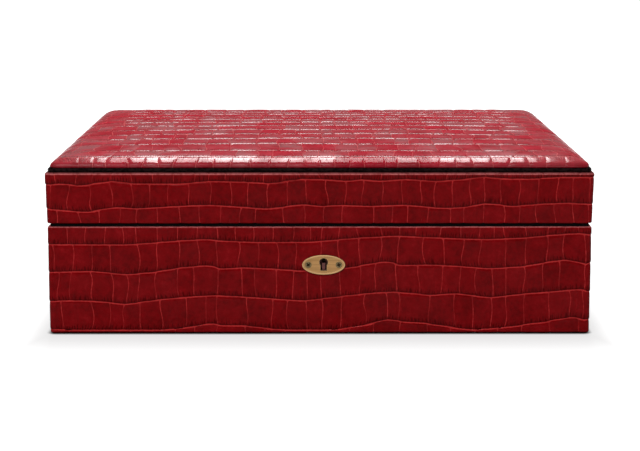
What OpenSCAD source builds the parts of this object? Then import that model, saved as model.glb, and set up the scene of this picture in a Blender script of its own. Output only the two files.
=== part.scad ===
// Leather-covered humidor: a board carcass lined with cedar, a hinged lid with a
// padded top, a box lock, a lift-out tray, a magnetic humidifier and a hygrometer.
// Millimetres, +Z up. The origin is the middle of the felt that it stands on,
// the front faces -Y, and the lid is shut.

/* [Overall] */
// Width of the case over its leather
case_w = 330; // [300:5:380]
// Depth of the case over its leather
case_d = 282; // [230:1:320]
// Height of the lower half, from the ground to the top of its leather
body_h = 66.4; // [62:0.2:90]
// Air gap between the lower half and the lid
rim_gap = 2.2; // [2:0.1:3]
// Height of the leather side of the lid
lid_side_h = 31; // [28:0.2:45]
// Height of the black band between the lid and its pad
band_h = 2.8; // [2:0.1:5]
// Height of the padded top panel above the band
pad_h = 5.1; // [4.8:0.1:12]

/* [Leather] */
// Thickness of the leather on the case
leather_t = 1.2; // [0.8:0.1:1.5]
// How far the top of the lid's side flares out past its bottom
lid_flare = 0.7; // [0:0.1:1.5]
// Radius of the upright corners
corner_r = 2.5; // [2:0.1:5]
// Radius of the leather's folded edges
edge_r = 1.6; // [1.3:0.1:1.7]
// Width of the leather turned over an edge
turn_w = 1.8; // [1.7:0.1:2]
// Width of the leather turned under the base
under_turn_w = 12; // [6:1:20]

/* [Boards] */
// Thickness of the upright boards
board_t = 9; // [9:0.5:12]
// Thickness of the base board
base_board_t = 6; // [4:0.5:10]
// Thickness of the board on top of the lid
lid_board_t = 5; // [4:0.5:8]
// Thickness of the felt under the base
felt_t = 1.5; // [1.5:0.1:3]
// How far the black band stands in from the case side
band_in = 0.8; // [0.4:0.1:2]

/* [Pad] */
// How far the pad stands in from the case side
pad_in = 1.8; // [1:0.1:4]
// Radius of the pad's corners seen from above
pad_corner_r = 5; // [4:0.5:10]
// Radius of the pad's rolled upper edge
pad_roll = 3.6; // [2.5:0.1:5]
// How far the pad's side tucks back in at its foot
pad_tuck = 1; // [0.5:0.1:1.5]
// Crown of the pad's middle above its edge
pad_crown = 0.6; // [0.1:0.1:1.2]
// Thickness of the pad's leather
pad_leather_t = 0.8; // [0.6:0.1:1.2]
// Thickness of the stiff board inside the pad
pad_board_t = 2; // [1.5:0.1:2.5]
// Width of the pad leather turned under its board
pad_turn_w = 15; // [8:1:25]

/* [Cedar lining] */
// Thickness of the upright lining of the lower half
lining_t = 5; // [4:0.5:8]
// Thickness of the floor lining
floor_lining_t = 4; // [3:0.5:6]
// How far the lining stands up past the leather as a lip
lip_h = 7.8; // [5:0.2:10]
// Clearance round the lip inside the lid
lip_clear = 0.5; // [0.4:0.1:1]
// Thickness of the lid's upright lining
lid_lining_t = 4; // [3:0.5:5]
// Thickness of the lid's top lining
lid_top_lining_t = 4; // [3:0.5:6]
// Clearance between the lip and the lid's lining above it
lip_gap = 0.6; // [0.4:0.1:1.5]
// Depth of the divider grooves in the lining
groove_depth = 2; // [1:0.1:2.5]
// Distance between the divider grooves
groove_pitch = 75; // [50:1:90]
// Thickness of the divider board
divider_t = 4; // [3:0.5:6]
// Side clearance of the divider in its grooves
divider_clear = 0.15; // [0.1:0.05:0.4]
// Gap between the divider and the tray above it
divider_gap = 4; // [2:0.5:8]
// Radius of the air holes in the divider
air_hole_r = 5; // [3:0.5:8]

/* [Rim seal] */
// Gap between the turned leather and the black felt seal
seal_gap = 0.2; // [0.1:0.1:1]
// Width of the felt seal
seal_w = 6.5; // [4:0.5:7]
// Clearance between the seal and the lid above it
seal_clear = 0.2; // [0.1:0.1:0.5]

/* [Tray] */
// How far the tray's top lies below the lip
tray_drop = 3; // [1:0.5:10]
// Height of the tray
tray_h = 26; // [20:0.5:28]
// Clearance between the tray and the lining
tray_clear = 0.8; // [0.5:0.1:2]
// Thickness of the tray's walls
tray_wall = 6; // [4:0.5:8]
// Thickness of the tray's slats
slat_t = 4; // [3:0.5:6]
// Number of slats
slat_count = 13; // [9:1:17]
// Gap between the slats
slat_gap = 4; // [3:0.5:6]
// Thickness of the tray's partition
partition_t = 4; // [3:0.5:6]
// Place of the partition from the middle
partition_x = 19; // [15:1:24]
// Width of the finger scoop in each tray end
scoop_w = 26; // [20:1:40]
// Depth of the finger scoop
scoop_depth = 9; // [6:1:12]
// Width of the cleats that carry the tray
cleat_w = 4; // [3:0.5:8]
// Height of the cleats
cleat_h = 6; // [4:0.5:10]

/* [Lock] */
// Place of the lock from the middle of the front
lock_x = 2.4; // [-20:0.2:20]
// How far the middle of the escutcheon lies below the lower half's top
escutcheon_drop = 23.2; // [21:0.2:25]
// Width of the oval escutcheon
escutcheon_w = 26.2; // [24:0.2:34]
// Height of the oval escutcheon
escutcheon_h = 12.2; // [11.6:0.2:16]
// Thickness of the escutcheon
escutcheon_t = 1.2; // [0.8:0.1:2]
// Distance between the escutcheon's screws
escutcheon_pitch = 18.6; // [16:0.2:20]
// Diameter of the round head of the keyhole
keyhole_d = 5.3; // [4:0.1:6]
// Width of the keyhole's slot
keyhole_slot = 3.9; // [2.6:0.1:4]
// Height of the keyhole, from its foot to the middle of its round head
keyhole_rise = 5.1; // [4:0.1:6]
// How far the keyhole's round head stands above the escutcheon's middle
keyhole_up = 1.5; // [0:0.1:2]
// Radius of the hole that the key's tip turns in
key_tip_r = 1.5; // [1:0.1:2]
// Width of the ward that the key's slotted bit passes
ward_w = 1.8; // [1:0.1:2]
// Width of the lock's case
lock_w = 48; // [46:1:60]
// Thickness of the lock's case from front to back
lock_t = 7; // [6.6:0.1:7.4]
// Height of the lock's case below its rim plate
lock_h = 31; // [30:0.5:34]
// Thickness of the lock's walls
lock_wall = 1; // [0.6:0.1:1.2]
// Clearance of the lock in its mortise
lock_clear = 0.2; // [0.1:0.05:0.3]
// How far the rim plate reaches past the lock's case at each end
rim_plate_ear = 9; // [8:0.5:12]
// Thickness of the rim plates of the lock and of the link plate
rim_plate_t = 1.6; // [1.2:0.1:2]
// Distance between the two links
link_pitch = 22; // [20:1:24]
// Travel of the bolt
bolt_travel = 4; // [3:0.1:4.5]
// Thickness of the bolt
bolt_t = 2; // [1.5:0.1:2.4]

/* [Hinges] */
// Distance of each hinge's middle from the side of the case
hinge_end = 60; // [45:1:80]
// Length of a hinge
hinge_l = 40; // [30:1:60]
// Clearance between the knuckles and the boards' rims
knuckle_clear = 0.1; // [0.05:0.05:0.3]
// Radius of the hinge pin
pin_r = 1; // [0.8:0.05:1.2]
// Clearance of the pin in the lid's knuckles
pin_clear = 0.05; // [0.03:0.01:0.08]
// Thickness of a hinge leaf
leaf_t = 1.5; // [1.2:0.1:1.6]
// Width of a hinge leaf from the pin
leaf_w = 8.6; // [8:0.1:9]
// Clearance of a leaf and its knuckles in the cut rim
notch_clear = 0.3; // [0.2:0.1:0.5]
// Gap between neighbouring knuckles
knuckle_gap = 0.2; // [0.1:0.05:0.4]
// How far the pin stands behind the back of the case
pin_out = 0.5; // [0.3:0.1:1]

/* [Screws] */
// Radius of the escutcheon's screw heads
small_head_r = 2; // [1.6:0.1:2.2]
// Radius of the escutcheon's screw shanks
small_shank_r = 0.9; // [0.6:0.1:1.1]
// Length of the escutcheon's screws below the head
small_screw_l = 2.2; // [1:0.1:3]
// Radius of the hinge and lock screw heads
screw_head_r = 2; // [1.6:0.1:2.4]
// Radius of the hinge and lock screw shanks
screw_shank_r = 1.1; // [0.8:0.1:1.2]
// Length of the hinge and lock screws below the plate
screw_l = 9; // [6:0.5:12]
// Height of a countersunk head
head_h = 1; // [0.8:0.1:1.2]

/* [Humidifier] */
// Length of the humidifier
humidifier_l = 112; // [90:1:116]
// Width of the humidifier
humidifier_w = 44; // [36:1:60]
// Height of the humidifier
humidifier_h = 12; // [10:0.5:12]
// Place of the humidifier's middle from the middle of the lid
humidifier_x = -56; // [-60:1:-50]
// Thickness of the humidifier's case
humidifier_wall = 1.6; // [1.2:0.1:2]
// Thickness of the humidifier's slotted cover
grille_t = 1.5; // [1:0.1:2]
// Number of slots in each row of the cover
grille_slots = 15; // [9:1:19]
// Radius of a magnet
magnet_r = 5; // [4:0.5:6]
// Thickness of a magnet
magnet_t = 2; // [1.5:0.1:2.5]
// Thickness of the steel plate that the magnets hold
steel_t = 0.8; // [0.5:0.1:1.2]
// Clearance between the magnets and the steel
magnet_gap = 0.3; // [0.2:0.1:0.5]
// Width of the steel plate
steel_w = 18; // [14:1:24]

/* [Hygrometer] */
// Place of the hygrometer's middle from the middle of the lid
gauge_x = 62; // [55:1:80]
// Radius of the hygrometer's cup
cup_r = 18.5; // [15:0.5:20]
// How far the bezel reaches past the cup
bezel_lip = 3.5; // [2:0.5:5]
// Thickness of the bezel
bezel_t = 2.4; // [2:0.1:3]
// Thickness of the cup's wall and floor
cup_wall = 0.8; // [0.6:0.1:1.2]
// Thickness of the glass
glass_t = 1; // [0.8:0.1:1.2]
// Reading of the needle at rest, in per cent
rest_reading = 70; // [0:1:100]

/* [Hidden] */
$fn = 64;
tiny = 0.02;

half_w = case_w / 2;
half_d = case_d / 2;
core_w = case_w - 2 * leather_t;
core_d = case_d - 2 * leather_t;
core_corner_r = max(corner_r - leather_t, 0.5);

// Heights of the lower half
base_z = felt_t;
wall_z = base_z + base_board_t;
rim_z = body_h - leather_t;
floor_z = wall_z + floor_lining_t;
lip_z = body_h + lip_h;

// Heights of the lid
lid_z = body_h + rim_gap;
lid_rim_z = lid_z + leather_t;
lid_side_z = lid_z + lid_side_h;
lid_board_top = lid_side_z - leather_t;
lid_board_z = lid_board_top - lid_board_t;
lid_ceiling_z = lid_board_z - lid_top_lining_t;
band_top = lid_side_z + band_h;
turn_gap = 0.3;

// Widths and depths inside the boards and inside the linings
inner_w = core_w - 2 * board_t;
inner_d = core_d - 2 * board_t;
room_w = inner_w - 2 * lining_t;
room_d = inner_d - 2 * lining_t;
lid_rail_t = board_t - lip_clear;
lid_inner_w = core_w - 2 * lid_rail_t;
lid_inner_d = core_d - 2 * lid_rail_t;

// The tray hangs just below the lip
tray_z = lip_z - tray_drop - tray_h;
tray_w = room_w - 2 * tray_clear;
tray_d = room_d - 2 * tray_clear;
tray_inner_d = tray_d - 2 * tray_wall;

// Rim seal
seal_in = turn_w + seal_gap;
seal_top = lid_rim_z - seal_clear;

// Inside of the pad, from its foot up
pad_board_z = band_top + pad_leather_t;
pad_board_top = band_top + pad_board_t;
pad_inner_w = case_w - 2 * (pad_in + pad_tuck + pad_leather_t);
pad_inner_d = case_d - 2 * (pad_in + pad_tuck + pad_leather_t);
pad_board_gap = 0.5;

// Hinges
hinge_x = half_w - hinge_end;
pin_y = half_d + pin_out;
pin_z = body_h + rim_gap / 2;
knuckle_r = pin_z - rim_z - knuckle_clear;
knuckle_l = (hinge_l - 4 * knuckle_gap) / 5;
hinge_screw_y = pin_y - leaf_w / 2 - 1.6;
hinge_screw_x = hinge_l / 2 - 6;

// Lock, from the front face inwards and from the rim down
lock_y0 = -half_d + leather_t + (board_t - lock_t) / 2;
lock_y1 = lock_y0 + lock_t;
lock_mid_y = (lock_y0 + lock_y1) / 2;
lock_z1 = rim_z - rim_plate_t;
lock_z0 = lock_z1 - lock_h;
rim_plate_l = lock_w + 2 * rim_plate_ear;
rim_plate_w = board_t - 0.4;
rim_screw_x = rim_plate_l / 2 - 4;
escutcheon_z = body_h - escutcheon_drop;
escutcheon_y = -half_d - escutcheon_t;
escutcheon_head_h = escutcheon_t - 0.2;
key_z = escutcheon_z + keyhole_up;
keyhole_foot_z = key_z - keyhole_rise;

// Links and bolt. The key's bit reaches a little past the foot of the bolt
link_t = 1.8;
link_w = 4;
link_foot = 1.4;
link_clear = 0.6;
link_z = key_z + keyhole_rise + 4.6;
bolt_clear = 0.6;
bolt_h = 5;
bolt_top = link_z - bolt_clear;
bolt_z = bolt_top - bolt_h;
nose_h = 2.6;
nose_l = bolt_travel + 1.5;
nose_play = 0.8;
window_h = nose_h + 2 * nose_play;
post_w = 2.5;
peg_w = 3;
peg_h = 2.4;

// Humidifier and hygrometer, from the lid's ceiling down
steel_z = lid_ceiling_z - steel_t;
humidifier_top = steel_z - magnet_gap;
humidifier_z = humidifier_top - humidifier_h;
humidifier_corner_r = 5;
magnet_x = humidifier_l / 2 - 16;
bezel_z = lid_ceiling_z - bezel_t;
bezel_r = cup_r + bezel_lip;
cup_bore_r = cup_r - cup_wall;
glass_z = bezel_z + 0.8;
dial_t = 0.5;
dial_z = lid_ceiling_z + lid_top_lining_t - cup_wall - 1 - dial_t;
needle_t = 0.4;
needle_z = dial_z - 0.5 - needle_t;
arbor_r = 0.5;
// The needle sweeps three quarters of a turn from 0 to 100 per cent
needle_sweep = 270;

red = [0.55, 0.03, 0.04];
cedar = [0.72, 0.45, 0.27];
board = [0.62, 0.50, 0.36];
brass = [0.72, 0.55, 0.30];
steel = [0.60, 0.60, 0.62];
black = [0.03, 0.03, 0.03];
cream = [0.90, 0.87, 0.78];

// A rectangle with round corners, centred
module rounded_rect(w, d, r) {
    square([w - 2 * r, d], center = true);
    square([w, d - 2 * r], center = true);
    for (x = [-1, 1], y = [-1, 1])
        translate([x * (w / 2 - r), y * (d / 2 - r)]) circle(r);
}

// A box between two opposite corners, in any order
module span_box(a, b) {
    low = [for (k = [0:2]) min(a[k], b[k])];
    high = [for (k = [0:2]) max(a[k], b[k])];
    translate(low) cube(high - low);
}

// A flat outline drawn in X and Z, standing from y0 to y1
module stand_y(y0, y1) {
    translate([0, y1, 0]) rotate([90, 0, 0]) linear_extrude(y1 - y0) children();
}

// Runs a profile round a rectangle with round corners. The profile's x is the
// distance in from the outer face, at most r, and its y is the height
module run_round(w, d, r) {
    for (k = [0:3]) {
        length = (k % 2 == 0 ? w : d) - 2 * r;
        off = (k % 2 == 0 ? d : w) / 2;
        rotate(90 * k) translate([-length / 2, -off, 0])
            rotate([90, 0, 90]) linear_extrude(length) children();
        corner_x = (k < 2 ? 1 : -1) * (w / 2 - r);
        corner_y = (k == 1 || k == 2 ? 1 : -1) * (d / 2 - r);
        translate([corner_x, corner_y, 0]) rotate(90 * k - 90)
            rotate_extrude(angle = 90) translate([r, 0]) mirror([1, 0]) children();
    }
}

// Section of the leather on one half, folded over its top and bottom edges. Its
// top stands out by the flare
module folded_section(z0, z1, flare = 0) {
    lean = atan2(flare, z1 - z0 - 2 * edge_r);
    out = -edge_r * [cos(lean), sin(lean)];
    foot = [flare + edge_r, z0 + edge_r];
    head = [edge_r, z1 - edge_r];
    depth = turn_w + flare;
    difference() {
        union() {
            translate(foot) circle(edge_r);
            translate(head) circle(edge_r);
            polygon([foot + out, head + out, head, [head[0], z1], [depth, z1], [depth, z0],
                     [foot[0], z0], foot]);
        }
        translate([leather_t + flare, z0 + leather_t]) square([edge_r * 3, z1 - z0 - 2 * leather_t]);
        translate([depth, z0 - 1]) square([edge_r * 3, z1 - z0 + 2]);
    }
}

// One mitred side board, k quarter turns round from the front
module mitred_board(k, t, z0, z1) {
    length = (k % 2 == 0 ? core_w : core_d) / 2;
    off = (k % 2 == 0 ? core_d : core_w) / 2;
    translate([0, 0, z0]) linear_extrude(z1 - z0) intersection() {
        rounded_rect(core_w, core_d, core_corner_r);
        rotate(90 * k)
            polygon([[-length, -off], [length, -off], [length - t, t - off], [t - length, t - off]]);
    }
}

// Seats of the hinge leaves, cut through whatever lies on the back rims
module hinge_notches() {
    reach = hinge_l / 2 + notch_clear;
    for (x = [-hinge_x, hinge_x])
        span_box([x - reach, pin_y - leaf_w - notch_clear, rim_z], [x + reach, half_d + 1, lid_rim_z]);
}

// Places a child at each screw of both hinges
module at_hinge_screws() {
    for (x = [-hinge_x, hinge_x], s = [-1:1])
        translate([x + s * hinge_screw_x, hinge_screw_y, 0]) children();
}

// Places a child at the two screws of a rim plate
module at_rim_screws() {
    for (s = [-1, 1])
        translate([lock_x + s * rim_screw_x, lock_mid_y, 0]) children();
}

// Places a child at each escutcheon screw, its -Z pointing into the front
module at_escutcheon_screws() {
    for (s = [-1, 1])
        translate([lock_x + s * escutcheon_pitch / 2, escutcheon_y, escutcheon_z])
            rotate([90, 0, 0]) children();
}

// A countersunk screw, its head's face at z = 0 and its point down
module screw(head_r, shank_r, length, head = head_h) {
    translate([0, 0, -head]) cylinder(h = head, r1 = shank_r, r2 = head_r);
    translate([0, 0, -head - length]) cylinder(h = length + tiny, r = shank_r);
}

module plate_screw() {
    screw(screw_head_r, screw_shank_r, screw_l);
}

module escutcheon_screw() {
    screw(small_head_r, small_shank_r, small_screw_l, escutcheon_head_h);
}

module keyhole_outline() {
    translate([lock_x, key_z]) circle(keyhole_d / 2);
    translate([lock_x - keyhole_slot / 2, keyhole_foot_z]) square([keyhole_slot, keyhole_rise]);
}

// Holes of the escutcheon's screws in what lies behind it
module escutcheon_screw_holes() {
    at_escutcheon_screws() translate([0, 0, -small_screw_l - 2])
        cylinder(h = small_screw_l + 2, r = small_shank_r);
}

module base_felt() {
    inset = under_turn_w + turn_gap;
    color(black) linear_extrude(felt_t)
        square([case_w - 2 * inset, case_d - 2 * inset], center = true);
}

module base_board() {
    color(board) translate([0, 0, base_z]) linear_extrude(base_board_t)
        rounded_rect(core_w, core_d, core_corner_r);
}

// Room for the lock, its rim plate and its screws
module lock_mortise() {
    reach = lock_w / 2 + lock_clear;
    span_box([lock_x - reach, lock_y0 - lock_clear, lock_z0 - lock_clear],
             [lock_x + reach, lock_y1 + lock_clear, rim_z + 1]);
    span_box([lock_x - rim_plate_l / 2, lock_mid_y - rim_plate_w / 2, lock_z1],
             [lock_x + rim_plate_l / 2, lock_mid_y + rim_plate_w / 2, rim_z + 1]);
    at_rim_screws() translate([0, 0, lock_z1 - screw_l]) cylinder(h = screw_l, r = screw_shank_r);
}

module body_front_board() {
    color(board) difference() {
        mitred_board(0, board_t, wall_z, rim_z);
        lock_mortise();
        stand_y(-half_d, lock_y0) keyhole_outline();
        escutcheon_screw_holes();
    }
}

module body_back_board() {
    color(board) difference() {
        mitred_board(2, board_t, wall_z, rim_z);
        at_hinge_screws() translate([0, 0, rim_z - screw_l]) cylinder(h = screw_l + 1, r = screw_shank_r);
    }
}

module body_side_board(k) {
    color(board) mitred_board(k, board_t, wall_z, rim_z);
}

module body_leather() {
    color(red) difference() {
        union() {
            run_round(case_w, case_d, corner_r) folded_section(base_z - leather_t, body_h);
            // Turned under the base and glued round the felt
            translate([0, 0, base_z - leather_t]) linear_extrude(leather_t) difference() {
                square([case_w - 2 * turn_w, case_d - 2 * turn_w], center = true);
                square([case_w - 2 * under_turn_w, case_d - 2 * under_turn_w], center = true);
            }
        }
        stand_y(-half_d - 1, -half_d + leather_t + 1) keyhole_outline();
        escutcheon_screw_holes();
        hinge_notches();
    }
}

module floor_lining() {
    color(cedar) translate([0, 0, wall_z]) linear_extrude(floor_lining_t)
        square([inner_w, inner_d], center = true);
}

// A long lining board with its divider grooves, at the front (-1) or the back (1)
module long_lining(side) {
    groove_w = divider_t + 2 * divider_clear;
    color(cedar) difference() {
        span_box([-inner_w / 2, side * inner_d / 2, floor_z], [inner_w / 2, side * room_d / 2, lip_z]);
        for (k = [-1:1])
            translate([k * groove_pitch, 0, 0])
                span_box([-groove_w / 2, side * (room_d / 2 - 1), floor_z - 1],
                         [groove_w / 2, side * (room_d / 2 + groove_depth), tray_z]);
    }
}

// A short lining board, at the left (-1) or the right (1)
module end_lining(side) {
    color(cedar)
        span_box([side * inner_w / 2, -room_d / 2, floor_z], [side * room_w / 2, room_d / 2, lip_z]);
}

module rim_seal() {
    outer_w = case_w - 2 * seal_in;
    outer_d = case_d - 2 * seal_in;
    lock_reach = rim_plate_l / 2 + notch_clear;
    plate_front = lock_mid_y - rim_plate_w / 2;
    color(black) difference() {
        translate([0, 0, rim_z]) linear_extrude(seal_top - rim_z) difference() {
            square([outer_w, outer_d], center = true);
            square([outer_w - 2 * seal_w, outer_d - 2 * seal_w], center = true);
        }
        hinge_notches();
        // Only a narrow strip runs in front of the lock's links
        span_box([lock_x - lock_reach, plate_front + 0.8, rim_z - 1],
                 [lock_x + lock_reach, -outer_d / 2 + seal_w + 1, seal_top + 1]);
    }
}

module divider() {
    reach = room_d / 2 + groove_depth - divider_clear;
    top = tray_z - divider_gap;
    color(cedar) difference() {
        span_box([-divider_t / 2, -reach, floor_z], [divider_t / 2, reach, top]);
        // Air holes keep the two halves at one humidity
        for (k = [-2:2])
            translate([0, k * room_d / 6, (floor_z + top) / 2]) rotate([0, 90, 0])
                cylinder(h = divider_t * 2, r = air_hole_r, center = true);
    }
}

module tray_cleats() {
    color(cedar) for (side = [-1, 1])
        span_box([side * room_w / 2, -room_d / 2, tray_z - cleat_h],
                 [side * (room_w / 2 - cleat_w), room_d / 2, tray_z]);
}

// The slot in the rim plate that a link drops through
module link_slot(s) {
    x = lock_x + s * link_pitch / 2;
    span_box([x - link_t / 2 - link_clear, lock_mid_y - link_w / 2 - link_clear, lock_z1 - 1],
             [x + link_t / 2 + link_clear, lock_mid_y + link_w / 2 + link_clear, rim_z + 1]);
}

module lock_case() {
    color(brass) difference() {
        union() {
            span_box([lock_x - lock_w / 2, lock_y0, lock_z0],
                     [lock_x + lock_w / 2, lock_y1 - lock_wall, lock_z1]);
            span_box([lock_x - rim_plate_l / 2, lock_mid_y - rim_plate_w / 2, lock_z1],
                     [lock_x + rim_plate_l / 2, lock_mid_y + rim_plate_w / 2, rim_z]);
        }
        span_box([lock_x - lock_w / 2 + lock_wall, lock_y0 + lock_wall, lock_z0 + lock_wall],
                 [lock_x + lock_w / 2 - lock_wall, lock_y1, lock_z1]);
        stand_y(lock_y0 - 1, lock_y0 + lock_wall + 1) keyhole_outline();
        for (s = [-1, 1]) link_slot(s);
        at_rim_screws() translate([0, 0, rim_z]) plate_screw();
    }
}

// The cap closes the lock's back. It carries the pegs that the bolt slides on and
// the ward behind the keyhole's slot, and the key's tip turns in its hole
module lock_cap() {
    inside = lock_y1 - lock_wall;
    ward_top = key_z - 0.6;
    ward_foot = keyhole_foot_z + 0.4;
    color(brass) difference() {
        union() {
            span_box([lock_x - lock_w / 2, inside, lock_z0], [lock_x + lock_w / 2, lock_y1, lock_z1]);
            span_box([lock_x - ward_w / 2, inside, ward_foot],
                     [lock_x + ward_w / 2, -half_d + 0.4, ward_top]);
            for (x = [-link_pitch / 2 - peg_w, link_pitch / 2 - peg_w / 2])
                span_box([lock_x + x - peg_w / 2, inside, bolt_z - peg_h],
                         [lock_x + x + peg_w / 2, lock_mid_y - bolt_t / 2, bolt_z]);
        }
        translate([lock_x, lock_y1, key_z]) rotate([90, 0, 0])
            cylinder(h = lock_wall * 4, r = key_tip_r, center = true);
    }
}

// The bolt slides along X, and its two noses enter the windows of the links
module lock_bolt() {
    nose_z = link_z + link_foot + nose_play;
    // The noses' roots, clear of the links while the bolt is drawn back
    roots = [for (s = [-1, 1]) s * link_pitch / 2 - link_t / 2 - bolt_clear - nose_l];
    talon_r = 2.6;
    color(brass) translate([lock_x, lock_mid_y, 0]) difference() {
        union() {
            span_box([roots[0] - post_w, -bolt_t / 2, bolt_z], [link_pitch / 2 + 1, bolt_t / 2, bolt_top]);
            for (root = roots) {
                span_box([root - post_w, -bolt_t / 2, bolt_z], [root, bolt_t / 2, nose_z + nose_h]);
                span_box([root - post_w, -bolt_t / 2, nose_z], [root + nose_l, bolt_t / 2, nose_z + nose_h]);
            }
        }
        // The talon, where the key's bit pushes the bolt
        translate([0, 0, bolt_z]) rotate([90, 0, 0])
            cylinder(h = bolt_t * 2, r = talon_r, center = true);
    }
}

module lock_screws() {
    color(brass) at_rim_screws() translate([0, 0, rim_z]) plate_screw();
}

module oval(w, h) {
    scale([w / h, 1]) circle(h / 2, $fn = 48);
}

// An oval plate with a bevelled rim
module escutcheon() {
    bevel = 0.4;
    color(brass) difference() {
        hull() {
            stand_y(escutcheon_y + bevel, -half_d) translate([lock_x, escutcheon_z])
                oval(escutcheon_w, escutcheon_h);
            stand_y(escutcheon_y, -half_d) translate([lock_x, escutcheon_z])
                oval(escutcheon_w - 2 * bevel, escutcheon_h - 2 * bevel);
        }
        stand_y(escutcheon_y - 1, -half_d + 1) keyhole_outline();
        at_escutcheon_screws() escutcheon_screw();
    }
}

module escutcheon_screws() {
    color(brass) at_escutcheon_screws() escutcheon_screw();
}

// One hinge leaf, on the lower half (-1) or the lid (1). The lower half has the
// odd knuckles and holds the pin tight, the lid has the two between them
module hinge_leaf(x, side) {
    leaf_z = side < 0 ? rim_z : lid_rim_z - leaf_t;
    mine = side < 0 ? [0, 2, 4] : [1, 3];
    color(brass) difference() {
        union() {
            span_box([x - hinge_l / 2, pin_y - leaf_w, leaf_z],
                     [x + hinge_l / 2, pin_y - knuckle_r, leaf_z + leaf_t]);
            for (k = mine)
                translate([x - hinge_l / 2 + k * (knuckle_l + knuckle_gap), 0, 0]) {
                    translate([0, pin_y, pin_z]) rotate([0, 90, 0]) cylinder(h = knuckle_l, r = knuckle_r);
                    span_box([0, pin_y - knuckle_r - 0.6, leaf_z], [knuckle_l, pin_y, leaf_z + leaf_t]);
                }
        }
        translate([x, pin_y, pin_z]) rotate([0, 90, 0])
            cylinder(h = hinge_l * 2, r = pin_r + (side > 0 ? pin_clear : 0), center = true);
        at_hinge_screws()
            translate([0, 0, side < 0 ? leaf_z + leaf_t : leaf_z]) mirror([0, 0, side < 0 ? 0 : 1])
                plate_screw();
    }
}

module hinge_pins() {
    color(brass) for (x = [-hinge_x, hinge_x])
        translate([x, pin_y, pin_z]) rotate([0, 90, 0]) cylinder(h = hinge_l, r = pin_r, center = true);
}

module hinge_body_screws() {
    color(brass) at_hinge_screws() translate([0, 0, rim_z + leaf_t]) plate_screw();
}

module hinge_lid_screws() {
    color(brass) at_hinge_screws() translate([0, 0, lid_rim_z - leaf_t]) mirror([0, 0, 1]) plate_screw();
}

// One mitred side board of the lid, k quarter turns round from the front
module lid_side_board(k) {
    color(board) difference() {
        mitred_board(k, lid_rail_t, lid_rim_z, lid_board_z);
        if (k == 2)
            at_hinge_screws() translate([0, 0, lid_rim_z - 1]) cylinder(h = screw_l + 1, r = screw_shank_r);
        if (k == 0) {
            link_plate_seat();
            at_rim_screws() translate([0, 0, lid_rim_z]) cylinder(h = screw_l + 1, r = screw_shank_r);
        }
    }
}

module lid_top_board() {
    color(board) translate([0, 0, lid_board_z]) linear_extrude(lid_board_t)
        rounded_rect(core_w, core_d, core_corner_r);
}

module lid_leather() {
    color(red) difference() {
        run_round(case_w + 2 * lid_flare, case_d + 2 * lid_flare, corner_r + lid_flare)
            folded_section(lid_z, lid_side_z, lid_flare);
        hinge_notches();
    }
}

// The black board between lid and pad. Its edge is half round, and its middle
// drops inside the turned leather onto the lid's top board
module lid_band() {
    w = case_w - 2 * band_in;
    d = case_d - 2 * band_in;
    r = band_h / 2;
    edge_w = corner_r + 0.5;
    inset = turn_w + turn_gap;
    color(black) {
        run_round(w, d, edge_w) {
            translate([r, lid_side_z + r]) circle(r);
            translate([r, lid_side_z]) square([edge_w - r, band_h]);
        }
        translate([0, 0, lid_side_z]) linear_extrude(band_h)
            square([w - 2 * edge_w, d - 2 * edge_w], center = true);
        translate([0, 0, lid_board_top]) linear_extrude(lid_side_z - lid_board_top)
            square([case_w - 2 * inset, case_d - 2 * inset], center = true);
    }
}

// Section of the padded top from the foot of its side up and in to the middle, as
// [distance in from the outer face, height]. The side is drawn in at its foot, the
// edge is rolled and the middle is crowned. Shrink steps in to the inner skins
function pad_section(shrink) =
    let (
        edge_top = pad_h - pad_crown - shrink,
        roll = min(pad_roll, pad_h - pad_crown - pad_leather_t - 0.1) - shrink,
        foot = shrink > 0 ? pad_leather_t : 0,
        steps = 6
    )
    concat(
        [[shrink + pad_tuck, foot], [shrink + pad_tuck / 4, foot + (edge_top - roll - foot) * 0.6]],
        [for (k = [0:steps]) let (a = 90 * k / steps)
            [shrink + roll * (1 - cos(a)), edge_top - roll * (1 - sin(a))]],
        [for (s = [0.1, 0.25, 0.5, 1])
            [pad_roll + s * case_d / 4, edge_top + pad_crown * sin(90 * s)]]
    );

// Points round the pad at one distance in from its outer face
function pad_loop(inset, z) =
    let (
        w = case_w / 2 - pad_in - inset,
        d = case_d / 2 - pad_in - inset,
        r = max(pad_corner_r - inset / 2, 1.2),
        steps = 5
    )
    [for (quarter = [0:3], k = [0:steps])
        let (
            a = 90 * (quarter + k / steps),
            side_x = (quarter == 0 || quarter == 3) ? 1 : -1,
            side_y = quarter < 2 ? 1 : -1
        )
        [side_x * (w - r) + r * cos(a), side_y * (d - r) + r * sin(a), z]];

// A closed skin through loops with equally many points, from the lowest up
module loft(loops) {
    n = len(loops[0]);
    last = (len(loops) - 1) * n;
    // Faces run clockwise seen from outside
    sides = [for (i = [0:len(loops) - 2], j = [0:n - 1])
        let (a = i * n + j, b = i * n + (j + 1) % n)
        each [[b + n, b, a], [a + n, b + n, a]]];
    bottom = [for (j = [0:n - 1]) j];
    top = [for (j = [n - 1:-1:0]) last + j];
    polyhedron(points = [for (l = loops) each l], faces = concat(sides, [bottom, top]), convexity = 4);
}

module pad_solid(shrink) {
    translate([0, 0, band_top]) loft([for (p = pad_section(shrink)) pad_loop(p[0], p[1])]);
}

// The stiff board in the pad, rebated below for the leather turned under it
module pad_board() {
    gap = 2 * pad_board_gap;
    color(board) {
        translate([0, 0, pad_board_z]) linear_extrude(pad_board_top - pad_board_z)
            square([pad_inner_w - gap, pad_inner_d - gap], center = true);
        translate([0, 0, band_top]) linear_extrude(pad_leather_t + tiny)
            square([pad_inner_w - 2 * pad_turn_w - gap, pad_inner_d - 2 * pad_turn_w - gap], center = true);
    }
}

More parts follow.
